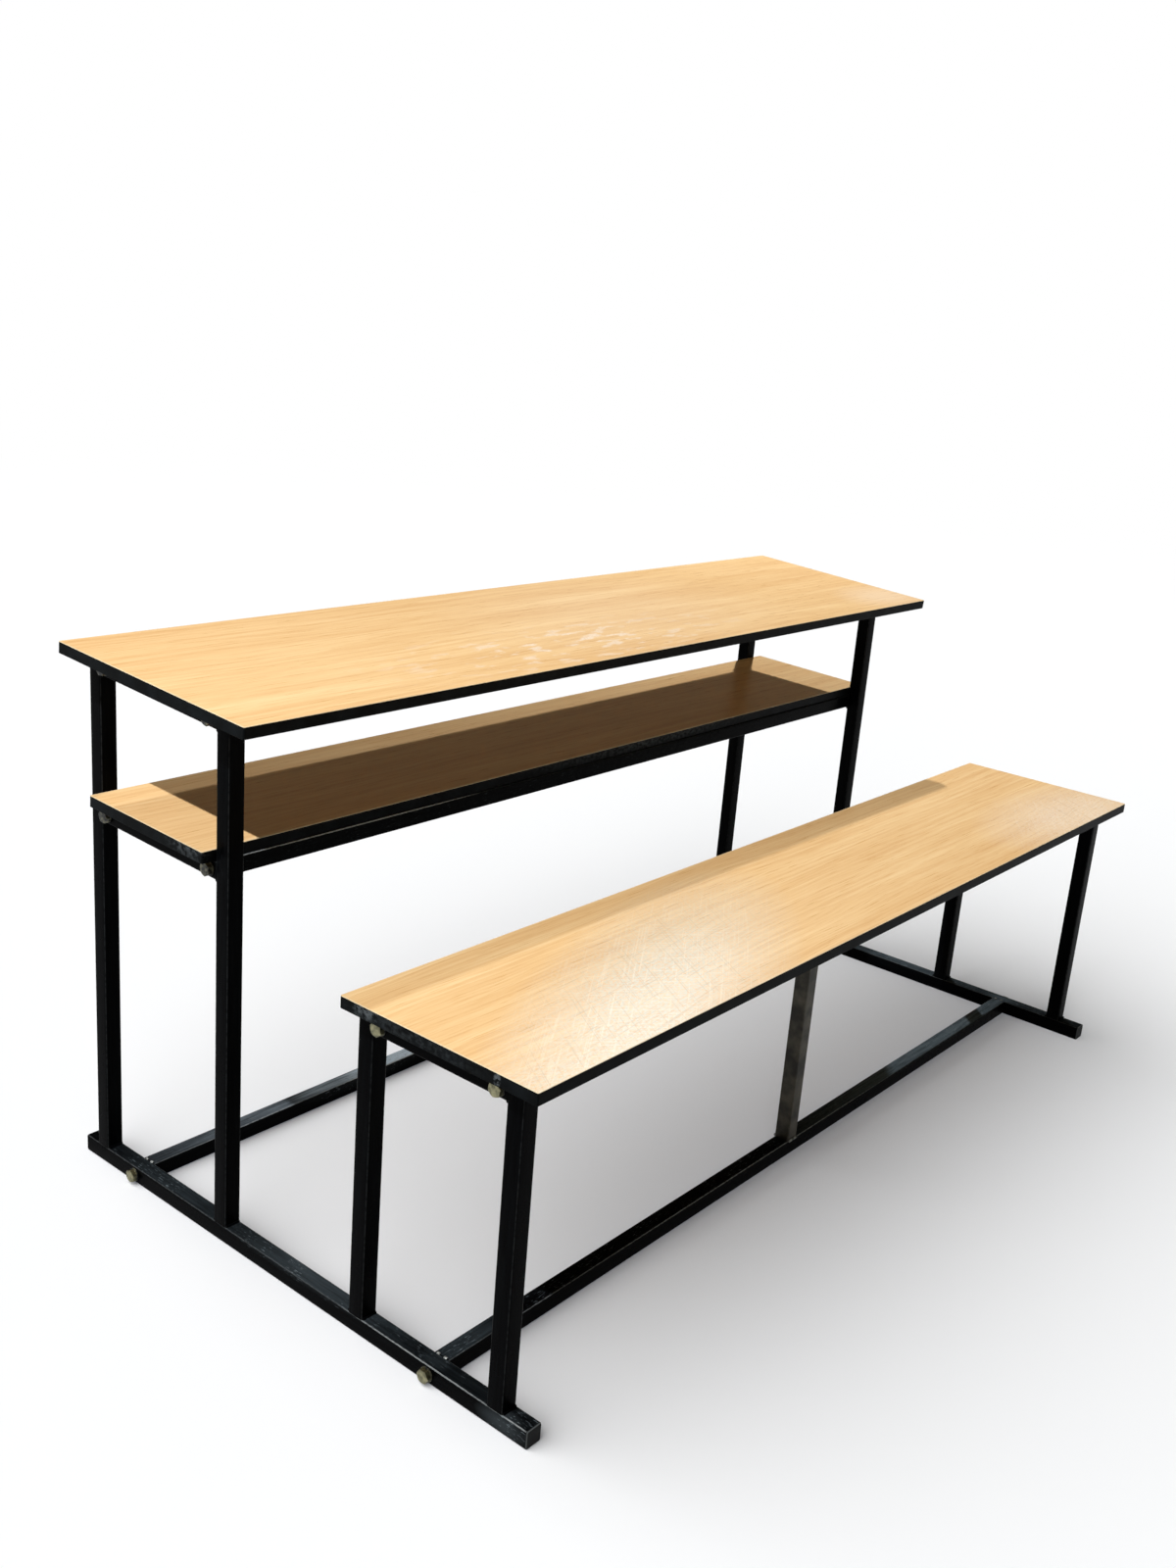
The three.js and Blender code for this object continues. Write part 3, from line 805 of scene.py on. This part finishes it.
# Old plate: the eye sees a clouded olive grey metal with a dull shine.
zinc = new_material("yellow_zinc_plate")
place = add_node(zinc, "TexCoord")["Object"]
clouds = {"Vector": place, "Scale": 1 / ZINC_CLOUD, "Detail": 4.0}
blotch = add_node(zinc, "TexNoise", clouds)["Fac"]
colour = add_node(zinc, "ValToRGB", {"Fac": blotch}, stops=ZINC_STOPS)["Color"]
skin = {"Base Color": colour, "Metallic": 1.0, "Roughness": 0.42}
add_node(zinc, "OutputMaterial", {"Surface": add_node(zinc, "BsdfPrincipled", skin)["BSDF"]})

# Plate under a coat of paint: the eye sees black heads on which a little metal glints.
dark_zinc = new_material("zinc_plate_brushed_over")
place = add_node(dark_zinc, "TexCoord")["Object"]
blotch = noise(dark_zinc, place, BRUSHED_CLOUD, 4.0)
colour = add_node(dark_zinc, "ValToRGB", {"Fac": blotch}, stops=BRUSHED_STOPS)["Color"]
skin = {"Base Color": colour, "Metallic": 0.5, "Roughness": 0.4}
shader = add_node(dark_zinc, "BsdfPrincipled", skin)["BSDF"]
add_node(dark_zinc, "OutputMaterial", {"Surface": shader})
print("zinc nodes:", len(zinc.node_tree.nodes), "and", len(dark_zinc.node_tree.nodes))

# %% [markdown]
# ## Bare steel and weld steel
# The post under the seat has no paint, so it shows mill steel with darker stains. Its welds and
# the tacks of the stretchers are brighter. Both are metal under a thin skin of oxide, so they
# are only partly metallic, and a noise between two tones gives each its stains or pools.

# %% Bare steel and weld steel
STAIN = 25 * MM
STEEL_STOPS = [(0.35, linear("#211F18")), (0.65, linear("#4F4B40"))]
BURN = (6 * MM, 6 * MM, 6 * MM)
WELD_STOPS = [(0.4, linear("#5A5B58")), (0.62, linear("#C4C8C8"))]

# Mill steel: the eye sees a dark brownish grey with a dull shine.
mill_steel = new_material("mild_steel_mill_finish")
place = add_node(mill_steel, "TexCoord")["Object"]
oily = {"Vector": place, "Scale": 1 / STAIN, "Detail": 6.0}
stains = add_node(mill_steel, "TexNoise", oily)["Fac"]
colour = add_node(mill_steel, "ValToRGB", {"Fac": stains}, stops=STEEL_STOPS)["Color"]
skin = {"Base Color": colour, "Metallic": 0.5, "Roughness": 0.48}
shader = add_node(mill_steel, "BsdfPrincipled", skin)["BSDF"]
add_node(mill_steel, "OutputMaterial", {"Surface": shader})

# Weld metal: the eye sees small bright pools between darker ones.
weld_steel = new_material("mild_steel_arc_weld")
place = add_node(weld_steel, "TexCoord")["Object"]
burnt = noise(weld_steel, place, BURN, 3.0)
colour = add_node(weld_steel, "ValToRGB", {"Fac": burnt}, stops=WELD_STOPS)["Color"]
skin = {"Base Color": colour, "Metallic": 0.4, "Roughness": 0.4}
shader = add_node(weld_steel, "BsdfPrincipled", skin)["BSDF"]
add_node(weld_steel, "OutputMaterial", {"Surface": shader})
print("steel nodes:", len(mill_steel.node_tree.nodes), "and", len(weld_steel.node_tree.nodes))

# %% [markdown]
# ## Board core
# The boards are wood chips pressed with glue, and from below they show raw. Each cell of a cell
# texture stands for one chip, and its own grey picks a tone between two browns.

# %% Board core
CHIP = 2.857 * MM
CHIP_STOPS = [(0.2, linear("#8E6B45")), (0.8, linear("#B8945F"))]

# Pressed chips: the eye sees a dry, speckled brown without any shine.
core_board = new_material("particle_board_pressed")
place = add_node(core_board, "TexCoord")["Object"]
chips = add_node(core_board, "TexVoronoi", {"Vector": place, "Scale": 1 / CHIP})["Color"]
chip_value = add_node(core_board, "RGBToBW", {0: chips})[0]
colour = add_node(core_board, "ValToRGB", {"Fac": chip_value}, stops=CHIP_STOPS)["Color"]
skin = {"Base Color": colour, "Roughness": 0.8}
shader = add_node(core_board, "BsdfPrincipled", skin)["BSDF"]
add_node(core_board, "OutputMaterial", {"Surface": shader})
print("board core nodes:", len(core_board.node_tree.nodes))

# %% [markdown]
# ## Reading the CAD
# Every visible tube starts as a copy of its CAD node, so its length, sloped ends and drilled
# holes are exact. The copy is turned level in thought, about the slope that it lies at, and
# measured there: this gives its middle and its real sizes without typing any of them twice. A
# second function turns a finished mesh into a piece, with sharp edges marked and the flats kept
# flat by a weighted normal.

# %% Slopes, measuring and pieces
DESKTOP_SLOPE = math.radians(4)
SHELF_SLOPE = math.radians(2.3)
BOARD_SLOPES = {"desktop": DESKTOP_SLOPE, "shelf": SHELF_SLOPE, "bench": 0.0}
SHARP_ANGLE = math.radians(50)


def measure(node, slope):
    """Middle of a CAD node, and its sizes along X and along and across the slope."""
    level = Matrix.Rotation(-slope, 3, "X")
    points = [level @ v.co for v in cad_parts[node].data.vertices]
    low = Vector(map(min, zip(*points)))
    high = Vector(map(max, zip(*points)))
    return level.inverted() @ ((low + high) / 2), high - low


def add_piece(name, shell, materials, slot, *nodes):
    """Turns a bmesh into a finished piece that rides on the frame and stands for CAD nodes."""
    for face in shell.faces:
        face.smooth = True
    for edge in shell.edges:
        edge.smooth = edge.is_manifold and edge.calc_face_angle(0.0) < SHARP_ANGLE
    data = bpy.data.meshes.new(name)
    shell.to_mesh(data)
    shell.free()
    for material in materials:
        data.materials.append(material)
    piece = bpy.data.objects.new(name, data)
    bpy.context.scene.collection.objects.link(piece)
    even = piece.modifiers.new("even_faces", "WEIGHTED_NORMAL")
    even.keep_sharp = True
    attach(piece, "root")
    if nodes:
        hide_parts(*nodes)
    return piece


_, desktop_sizes = measure("desktop_board", DESKTOP_SLOPE)
print("desktop board:", [round(size / MM, 1) for size in desktop_sizes], "mm")

# %% [markdown]
# ## Tubes
# A CAD file stores loose triangles, which light up as facets. Merging their corners and
# smoothing across every edge but the sharp ones turns them into a drawn tube again. Each face
# then gets a UV: how far it lies from the middle of its side, and how far along the tube, both
# in metres. On a rounded corner the first of these is measured along the arc.

# %% A tube and its UV map
MERGE_DISTANCE = 0.002 * MM
TINY = 1e-9
# The axes of a tube that runs along each letter: two across it, and the last along it.
TUBE_AXES = {"X": "YZX", "Y": "XZY", "Z": "XYZ"}


def side_place(point, normal, middle, axes):
    """UV of a corner of a tube's face: from the middle of its side, and along the tube."""
    offset = point - middle
    here = [offset.dot(axis) for axis in axes]
    turned = [abs(normal.dot(axis)) for axis in axes]
    facing, sideways = (0, 1) if turned[0] > turned[1] else (1, 0)
    flat = TUBE_SIDE / 2 - TUBE_CORNER
    past = abs(here[sideways]) - flat
    if past <= 0:
        return here[sideways], here[2]
    arc = min(math.atan2(past, max(abs(here[facing]) - flat, TINY)), math.pi / 4)
    return math.copysign(flat + TUBE_CORNER * arc, here[sideways]), here[2]


def dress_tube(node, along, slope, material, slot):
    """A smooth copy of a tube node, with its UV map. The tube runs along an axis of its board."""
    middle, _ = measure(node, slope)
    tilt = Matrix.Rotation(slope, 3, "X")
    axes = [tilt @ Vector([axis == letter for axis in "XYZ"]) for letter in TUBE_AXES[along]]
    shell = bmesh.new()
    shell.from_mesh(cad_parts[node].data)
    bmesh.ops.remove_doubles(shell, verts=shell.verts, dist=MERGE_DISTANCE)
    shell.normal_update()
    layer = shell.loops.layers.uv.new("tube_side")
    for face in shell.faces:
        face.material_index = 0
        for loop in face.loops:
            loop[layer].uv = side_place(loop.vert.co, face.normal, middle, axes)
    return add_piece(node + "_dressed", shell, [material], slot, node)


print("flat part of a tube's side:", round((TUBE_SIDE - 2 * TUBE_CORNER) / MM, 1), "mm")

# %% [markdown]
# ## Dressing all tubes
# All 26 tubes are of one stock and differ only in their length, direction and slope, so a table
# lists these, and one loop dresses them. The tubes at the floor take the worn enamel with its
# painted sheen, the desk stretcher the one with the stronger painted sheen, and the post under
# the seat stays bare.

# %% All tubes
LEGS = ("bench_front_leg", "bench_rear_leg", "desk_front_leg", "desk_rear_leg")
SPECIAL_FINISH = {"bench_mid_post": mill_steel, "desk_stretcher": sheen_painted_enamel}

tubes = {"bench_mid_post": ("Z", 0.0), "bench_mid_cross_tube": ("Y", 0.0)}
tubes.update({"bench_stretcher": ("X", 0.0), "desk_stretcher": ("X", 0.0)})
for side in ("left", "right"):
    tubes[side + "_foot_rail"] = ("Y", 0.0)
    for leg in LEGS:
        tubes[f"{side}_{leg}"] = ("Z", 0.0)
    for board, slope in BOARD_SLOPES.items():
        tubes[f"{side}_{board}_cross_tube"] = ("Y", slope)
for board, slope in BOARD_SLOPES.items():
    tubes[board + "_front_rail"] = ("X", slope)
    tubes[board + "_rear_rail"] = ("X", slope)

for node, (along, slope) in tubes.items():
    finish = scuffed_enamel if node.endswith(("foot_rail", "stretcher")) else enamel
    finish = SPECIAL_FINISH.get(node, finish)
    dress_tube(node, along, slope, finish, "bare_steel" if finish is mill_steel else "black_paint")
print("tubes dressed:", len(tubes))

# %% [markdown]
# ## Turned parts
# Bolts, washers, screws and weld beads are all round about a line, so a profile is drawn and
# spun. It starts and ends on the axis, which closes the body, and the doubled corners on the
# axis are merged before the faces are turned outwards.


# %% Turned parts
def spin_round(points, steps):
    """A closed body round Z, from points (radius, height) that start and end on the axis."""
    body = bmesh.new()
    corners = [body.verts.new((radius, 0, height)) for radius, height in points]
    edges = [body.edges.new(pair) for pair in zip(corners, corners[1:])]
    around = {"axis": (0, 0, 1), "cent": (0, 0, 0), "angle": math.tau}
    bmesh.ops.spin(body, geom=corners + edges, steps=steps, use_merge=True, **around)
    bmesh.ops.remove_doubles(body, verts=body.verts, dist=MERGE_DISTANCE)
    bmesh.ops.recalc_face_normals(body, faces=body.faces)
    return body


def join(shell, part, material=0):
    """Moves a part's faces into a larger bmesh."""
    for face in part.faces:
        face.material_index = material
    data = bpy.data.meshes.new("part")
    part.to_mesh(data)
    part.free()
    shell.from_mesh(data)
    bpy.data.meshes.remove(data)


print("corners closer than", MERGE_DISTANCE / MM, "mm are merged")

# %% [markdown]
# ## Bolts
# The machine bolts are zinc plated and passivated yellow. A real hexagon head is turned first
# and its six flats are cut after, which leaves the curved shoulders that catch the light. The
# same order works here: a profile is spun round the bolt's axis, and six planes cut the flats.
# Washer and shank are spun the same way and joined to the head.

# %% Hexagon head
HEAD_FLAT = 17 * MM
HEAD_HEIGHT = 6.4 * MM
HEAD_CROWN = 0.5 * MM
HEAD_CHAMFER = math.radians(30)
WASHER_WIDTH = 20 * MM
WASHER_HEIGHT = 2 * MM
SPIN_STEPS = 48


def hexagon_head():
    """A bolt head that stands on its washer, turned and then cut to six flats."""
    round_head = HEAD_FLAT / 2 / math.cos(math.pi / 6)
    shoulder = math.tan(HEAD_CHAMFER) * (round_head - HEAD_FLAT / 2 + HEAD_CROWN)
    body = spin_round(
        [
            (0, WASHER_HEIGHT),
            (round_head, WASHER_HEIGHT),
            (round_head, WASHER_HEIGHT + HEAD_HEIGHT - shoulder),
            (HEAD_FLAT / 2 - HEAD_CROWN, WASHER_HEIGHT + HEAD_HEIGHT),
            (0, WASHER_HEIGHT + HEAD_HEIGHT),
        ],
        SPIN_STEPS,
    )
    for step in range(6):
        outward = Vector((math.cos(step * math.pi / 3), math.sin(step * math.pi / 3), 0))
        cut = bmesh.ops.bisect_plane(
            body,
            geom=body.verts[:] + body.edges[:] + body.faces[:],
            plane_co=outward * HEAD_FLAT / 2,
            plane_no=outward,
            clear_outer=True,
        )
        rim = [item for item in cut["geom_cut"] if isinstance(item, bmesh.types.BMEdge)]
        bmesh.ops.edgeloop_fill(body, edges=rim)
    return body


print("head:", round(HEAD_FLAT / MM), "mm across flats,", round(HEAD_HEIGHT / MM, 1), "mm high")

# %% [markdown]
# ## Bolt with its washer
# A washer is punched, so its edges are slightly broken, and the end of a shank is tapered to
# find its hole. The washer bears on z = 0, which makes the bolt easy to place on a tube.

# %% Bolt with its washer
SHANK_WIDTH = 10 * MM
SHANK_LENGTH = 36 * MM
SHANK_TAPER = 1 * MM
BREAK = 0.3 * MM


def bolt_body():
    """A bolt whose washer bears on z = 0, with its head above."""
    body = hexagon_head()
    washer = spin_round(
        [
            (0, 0),
            (SHANK_WIDTH / 2, 0),
            (WASHER_WIDTH / 2 - BREAK, 0),
            (WASHER_WIDTH / 2, BREAK),
            (WASHER_WIDTH / 2, WASHER_HEIGHT - BREAK),
            (WASHER_WIDTH / 2 - BREAK, WASHER_HEIGHT),
            (0, WASHER_HEIGHT),
        ],
        SPIN_STEPS,
    )
    shank = spin_round(
        [
            (0, WASHER_HEIGHT - SHANK_LENGTH),
            (SHANK_WIDTH / 2 - SHANK_TAPER, WASHER_HEIGHT - SHANK_LENGTH),
            (SHANK_WIDTH / 2, WASHER_HEIGHT - SHANK_LENGTH + SHANK_TAPER),
            (SHANK_WIDTH / 2, 0),
            (0, 0),
        ],
        SPIN_STEPS,
    )
    # Every washer takes the darker plate, so it shows darker than its head.
    join(body, washer, material=1)
    join(body, shank)
    return body


print("bolt:", round(SHANK_WIDTH / MM), "mm thick, washer", round(WASHER_WIDTH / MM), "mm wide")

# %% [markdown]
# ## Bolts in place
# Two bolts hold each board's rails to an end frame, and one each stretcher. The CAD gives the
# height and depth of each, and the bolt is laid on its side, tilted with its board and set on
# the outer face of the frame. No two were tightened to the same angle, so each is turned a
# little further than the one before.

# %% Bolts in place
FRAME_HALF = 1566 * MM / 2
SEAT_GAP = 0.3 * MM
BOLT_TURN = math.radians(23)

bolt_slopes = {"bench_stretcher": 0.0, "desk_stretcher": 0.0}
for board, slope in BOARD_SLOPES.items():
    bolt_slopes[board + "_front"] = slope
    bolt_slopes[board + "_rear"] = slope
for side, sign in (("left", -1), ("right", 1)):
    for number, (name, slope) in enumerate(bolt_slopes.items()):
        node = f"{side}_{name}_bolt"
        middle, _ = measure(node, slope)
        body = bolt_body()
        spun = Matrix.Rotation(BOLT_TURN * number, 4, "Z")
        lying = Matrix.Rotation(sign * math.pi / 2, 4, "Y")
        seat = Matrix.Translation((sign * (FRAME_HALF + SEAT_GAP), middle.y, middle.z))
        body.transform(seat @ Matrix.Rotation(slope, 4, "X") @ lying @ spun)
        plate = dark_zinc if name.startswith(("desktop", "shelf")) else zinc
        add_piece(node + "_dressed", body, [plate, dark_zinc], "zinc_plate", node)
print("bolts:", 2 * len(bolt_slopes))

# %% [markdown]
# ## Weld beads
# Each leg was arc welded to the foot rail across its front and rear, and the cross tubes to the
# legs from below. A bead is a row of small overlapping pools, so a profile that swells and
# narrows is spun round the bead's own line. It lies a little outside the corner of the two
# tubes and sinks into both, as molten metal does. These beads lie under the enamel, so they
# share its black.

# %% Weld beads of the end frames
BEAD_RADIUS = 2.3 * MM
BEAD_NECK = 1.8 * MM
BEAD_STEP = 2.6 * MM
BEAD_OUT = 0.6 * MM
BEAD_INSET = 1.5 * MM
BEAD_SIDES = 12
# A pool is narrowest just past its start and widest at its middle.
POOL_NECK = 0.08
POOL_MIDDLE = 0.5


def weld_bead(shell, start, end):
    """Adds a rippled bead from start to end."""
    start, end = Vector(start), Vector(end)
    length = (end - start).length
    pools = round(length / BEAD_STEP)
    profile = [(0, 0)]
    for pool in range(pools):
        profile.append((BEAD_NECK, (pool + POOL_NECK) * length / pools))
        profile.append((BEAD_RADIUS, (pool + POOL_MIDDLE) * length / pools))
    profile += [(BEAD_NECK, length - POOL_NECK * length / pools), (0, length)]
    bead = spin_round(profile, BEAD_SIDES)
    turn = (end - start).to_track_quat("Z", "Y").to_matrix().to_4x4()
    bead.transform(Matrix.Translation(start) @ turn)
    join(shell, bead)


for side in ("left", "right"):
    welds = bmesh.new()
    for leg in LEGS:
        low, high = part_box(f"{side}_{leg}")
        near, far, height = low[0] + BEAD_INSET, high[0] - BEAD_INSET, low[2] + BEAD_OUT
        for y in (low[1] - BEAD_OUT, high[1] + BEAD_OUT):
            weld_bead(welds, (near, y, height), (far, y, height))
    for board, slope in BOARD_SLOPES.items():
        node = f"{side}_{board}_cross_tube"
        low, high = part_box(node)
        near, far = low[0] + BEAD_INSET, high[0] - BEAD_INSET
        middle, _ = measure(node, slope)
        for y, out in ((low[1], BEAD_OUT), (high[1], -BEAD_OUT)):
            tube_middle = middle.z + math.tan(slope) * (y - middle.y)
            under = tube_middle - TUBE_SIDE / 2 / math.cos(slope) - BEAD_OUT
            weld_bead(welds, (near, y + out, under), (far, y + out, under))
    print(side, "frame weld faces:", len(welds.faces))
    add_piece(side + "_frame_welds", welds, [enamel], "black_paint")

# %% [markdown]
# ## Welds of the post
# The post is welded across its front and rear at the foot, and all round at the top. Nothing was
# painted here, so these beads keep the bright look of weld metal.

# %% Welds of the post
welds = bmesh.new()
low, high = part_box("bench_mid_post")
for height in (low[2] + BEAD_OUT, high[2] - BEAD_OUT):
    for y in (low[1] - BEAD_OUT, high[1] + BEAD_OUT):
        ends = [(x, y, height) for x in (low[0] + BEAD_INSET, high[0] - BEAD_INSET)]
        weld_bead(welds, *ends)
for x in (low[0] - BEAD_OUT, high[0] + BEAD_OUT):
    ends = [(x, y, high[2] - BEAD_OUT) for y in (low[1] + BEAD_INSET, high[1] - BEAD_INSET)]
    weld_bead(welds, *ends)
print("post weld faces:", len(welds.faces))
add_piece("bench_post_welds", welds, [weld_steel], "bare_steel")

# %% [markdown]
# ## Tack welds of the stretchers
# Each stretcher is held to the foot rails by two short tacks on top, besides its bolt. A tack
# is a bead of only two pools, made by the same function.

# %% Tack welds of the stretchers
TACK_LENGTH = 5 * MM
TACK_OFFSET = 6 * MM

for stretcher in ("bench_stretcher", "desk_stretcher"):
    tacks = bmesh.new()
    low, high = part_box(stretcher)
    height = high[2] - BEAD_OUT
    for x in (low[0], high[0]):
        for aside in (-TACK_OFFSET, TACK_OFFSET):
            y = (low[1] + high[1]) / 2 + aside
            weld_bead(tacks, (x, y - TACK_LENGTH / 2, height), (x, y + TACK_LENGTH / 2, height))
    print(stretcher, "tack faces:", len(tacks.faces))
    add_piece(stretcher + "_tacks", tacks, [weld_steel], "bare_steel")

# %% [markdown]
# ## Board screws
# The boards are held from below by pan head screws through the rails. Nobody sees them from
# above, but the desk is turned over in a workshop, so each rail has three. One profile gives
# the domed head and its tapered recess.

# %% Board screws
SCREW_HEAD = 8 * MM
SCREW_RISE = 2.6 * MM
SCREW_COUNT = 3
SCREW_STEPS = 24
SCREW_PROFILE = [
    (0, 1.2 * MM),
    (0.9 * MM, 1.9 * MM),
    (1.5 * MM, SCREW_RISE),
    (2.6 * MM, SCREW_RISE * 0.86),
    (3.5 * MM, SCREW_RISE * 0.5),
    (SCREW_HEAD / 2, 0.3 * MM),
    (SCREW_HEAD / 2, 0),
    (0, 0),
]

downward = Matrix.Translation((0, 0, -TUBE_SIDE / 2)) @ Matrix.Rotation(math.pi, 4, "X")
for board, slope in BOARD_SLOPES.items():
    screws = bmesh.new()
    tilt = Matrix.Rotation(slope, 4, "X")
    for rail in (board + "_front_rail", board + "_rear_rail"):
        middle, sizes = measure(rail, slope)
        for number in range(SCREW_COUNT):
            along = sizes.x * ((number + 0.5) / SCREW_COUNT - 0.5)
            head = spin_round(SCREW_PROFILE, SCREW_STEPS)
            head.transform(Matrix.Translation(middle + Vector((along, 0, 0))) @ tilt @ downward)
            join(screws, head)
    print(board, "screw faces:", len(screws.faces))
    add_piece(board + "_screws", screws, [zinc], "zinc_plate")

# %% [markdown]
# ## Boards
# Each board is a core with a black band glued round its edge and a printed sheet pressed on
# top. Sheet and band are both made of a flat slab with rounded corners, whose long edges are
# then broken by a small bevel, because only a broken edge catches a line of light.

# %% Slabs and broken edges
BOARD_CORNER = 2 * MM
SHARP_EDGE = math.radians(60)


def slab(sizes, corner):
    """A flat board round the origin with rounded corners."""
    shell = bmesh.new()
    bmesh.ops.create_cube(shell, size=1.0)
    bmesh.ops.scale(shell, verts=shell.verts, vec=sizes)
    upright = [e for e in shell.edges if abs(e.verts[0].co.z - e.verts[1].co.z) > sizes.z / 2]
    bmesh.ops.bevel(
        shell,
        geom=upright,
        offset=corner,
        offset_type="OFFSET",
        segments=4,
        profile=0.5,
        affect="EDGES",
        material=-1,
    )
    return shell


def break_edges(shell, offset):
    """Bevels every sharp edge of a piece."""
    shell.normal_update()
    sharp = [e for e in shell.edges if e.calc_face_angle(0.0) > SHARP_EDGE]
    bmesh.ops.bevel(
        shell,
        geom=sharp,
        offset=offset,
        offset_type="OFFSET",
        segments=2,
        profile=0.5,
        affect="EDGES",
        material=-1,
    )


print("board corners are rounded to", round(BOARD_CORNER / MM), "mm")

# %% [markdown]
# ## Printed sheets
# The sheet is the slab with its edges barely broken. Its flat faces take the print and its cut
# edge the cream resin, which shows as a thin line over the band. An inset of its top marks a
# narrow rim, and the material reads that mark to pale the print there.

# %% Printed sheets
SHEET_BREAK = 0.2 * MM
RIM_WIDTH = 3 * MM
# The height of a normal past which a face lies flat, and past which it is the flat top itself.
FACES_UP = 0.9
FLAT_TOP = 0.999


def dress_sheet(board, slope):
    """The printed sheet of a board, with a rim marked along its top edge."""
    middle, sizes = measure(board + "_laminate", slope)
    sheet = slab(sizes, BOARD_CORNER)
    break_edges(sheet, SHEET_BREAK)
    for face in sheet.faces:
        face.material_index = 0 if abs(face.normal.z) > FACES_UP else 1
    rim = sheet.verts.layers.float.new("rim")
    for corner in sheet.verts:
        corner[rim] = 1.0
    # Only the flat top is inset. A bevel face in the set would lead the inset up its own slope.
    upper = [face for face in sheet.faces if face.normal.z > FLAT_TOP]
    bmesh.ops.inset_region(sheet, faces=upper, thickness=RIM_WIDTH, use_even_offset=True)
    # The rim is wider than the corners are round, so each rounded corner of the inset crosses
    # over itself. Its vertices are merged into one, or the sheet would shade with a thin dark
    # line from corner to corner. A list keeps their order, so every run merges them alike.
    inner = [vert for face in upper for vert in face.verts]
    for corner in inner:
        corner[rim] = 0.0
    bmesh.ops.remove_doubles(sheet, verts=inner, dist=RIM_WIDTH)
    sheet.transform(Matrix.Translation(middle) @ Matrix.Rotation(slope, 4, "X"))
    add_piece(board + "_laminate_dressed", sheet, [oak, resin], "laminate", board + "_laminate")
    return sizes


print("marked rim:", round(RIM_WIDTH / MM), "mm wide")

# %% [markdown]
# ## Edge bands and cores
# A band is the same slab without its two flat faces, thickened inwards. The core below it stays
# as the CAD has it, because its shape is right, and only gets its chip material.

# %% Edge bands and cores
BAND_BREAK = 0.5 * MM
BAND_THICKNESS = 2 * MM


def dress_band(board, slope):
    """The black band round a board."""
    middle, sizes = measure(board + "_edge_band", slope)
    ring = slab(sizes, BOARD_CORNER)
    flats = [f for f in ring.faces if abs(f.normal.z) > FACES_UP]
    bmesh.ops.delete(ring, geom=flats, context="FACES_ONLY")
    bmesh.ops.recalc_face_normals(ring, faces=ring.faces)
    bmesh.ops.solidify(ring, geom=ring.faces[:], thickness=BAND_THICKNESS)
    bmesh.ops.recalc_face_normals(ring, faces=ring.faces)
    break_edges(ring, BAND_BREAK)
    ring.transform(Matrix.Translation(middle) @ Matrix.Rotation(slope, 4, "X"))
    add_piece(board + "_edge_band_dressed", ring, [band_black], "edge_band", board + "_edge_band")


for board, slope in BOARD_SLOPES.items():
    sizes = dress_sheet(board, slope)
    dress_band(board, slope)
    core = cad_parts[board + "_board"]
    core.data.materials.clear()
    core.data.materials.append(core_board)
    print(board, "sheet:", [round(size / MM, 1) for size in sizes], "mm")

# %% [markdown]
# ## Glare on the seat alone
# The pale glare lies on the seat, and the desktop beside it has none. Light linking keeps the
# reflector to the seat's sheet, which now exists and can be named.

# %% Glare on the seat alone
seat_sheet = bpy.data.collections.new("seat_sheet")
seat_sheet.objects.link(bpy.data.objects["bench_laminate_dressed"])
reflector.light_linking.receiver_collection = seat_sheet

# %% [markdown]
# ## Foot caps
# A moulded cap is pushed into each end of the foot rails. Its CAD solid already has the flange
# and the hollow plug, so a merged copy of it only gets the outer rim of its flange rounded, as
# the mould leaves it. The round faces carry the mark that the plastic reads as its paler rim.

# %% Foot caps
CAP_ROUNDING = 1.6 * MM
SAME_PLANE = math.radians(1)

for side in ("left", "right"):
    for end in ("front", "rear"):
        node = f"{side}_{end}_foot_cap"
        cap = bmesh.new()
        cap.from_mesh(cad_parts[node].data)
        bmesh.ops.remove_doubles(cap, verts=cap.verts, dist=MERGE_DISTANCE)
        bmesh.ops.dissolve_limit(cap, angle_limit=SAME_PLANE, verts=cap.verts, edges=cap.edges)
        outermost = max(abs(vert.co.y) for vert in cap.verts) - MERGE_DISTANCE
        outer_rim = [e for e in cap.edges if all(abs(vert.co.y) > outermost for vert in e.verts)]
        rounded = bmesh.ops.bevel(
            cap,
            geom=outer_rim,
            offset=CAP_ROUNDING,
            offset_type="OFFSET",
            segments=3,
            profile=0.5,
            affect="EDGES",
            material=-1,
        )
        round_faces = set(rounded["faces"])
        rim = cap.verts.layers.float.new("rim")
        for vert in cap.verts:
            vert[rim] = float(round_faces.issuperset(vert.link_faces))
        for face in cap.faces:
            face.material_index = 0
        print(node, "faces:", len(cap.faces))
        add_piece(node + "_dressed", cap, [cap_black], "cap_plastic", node)

# %% [markdown]
# ## Finish
# The box round every shown piece is printed, which gives the size of the dressed desk.

# %% Finish
low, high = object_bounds()
print("visual box:", [round(x, 4) for x in low], [round(x, 4) for x in high])
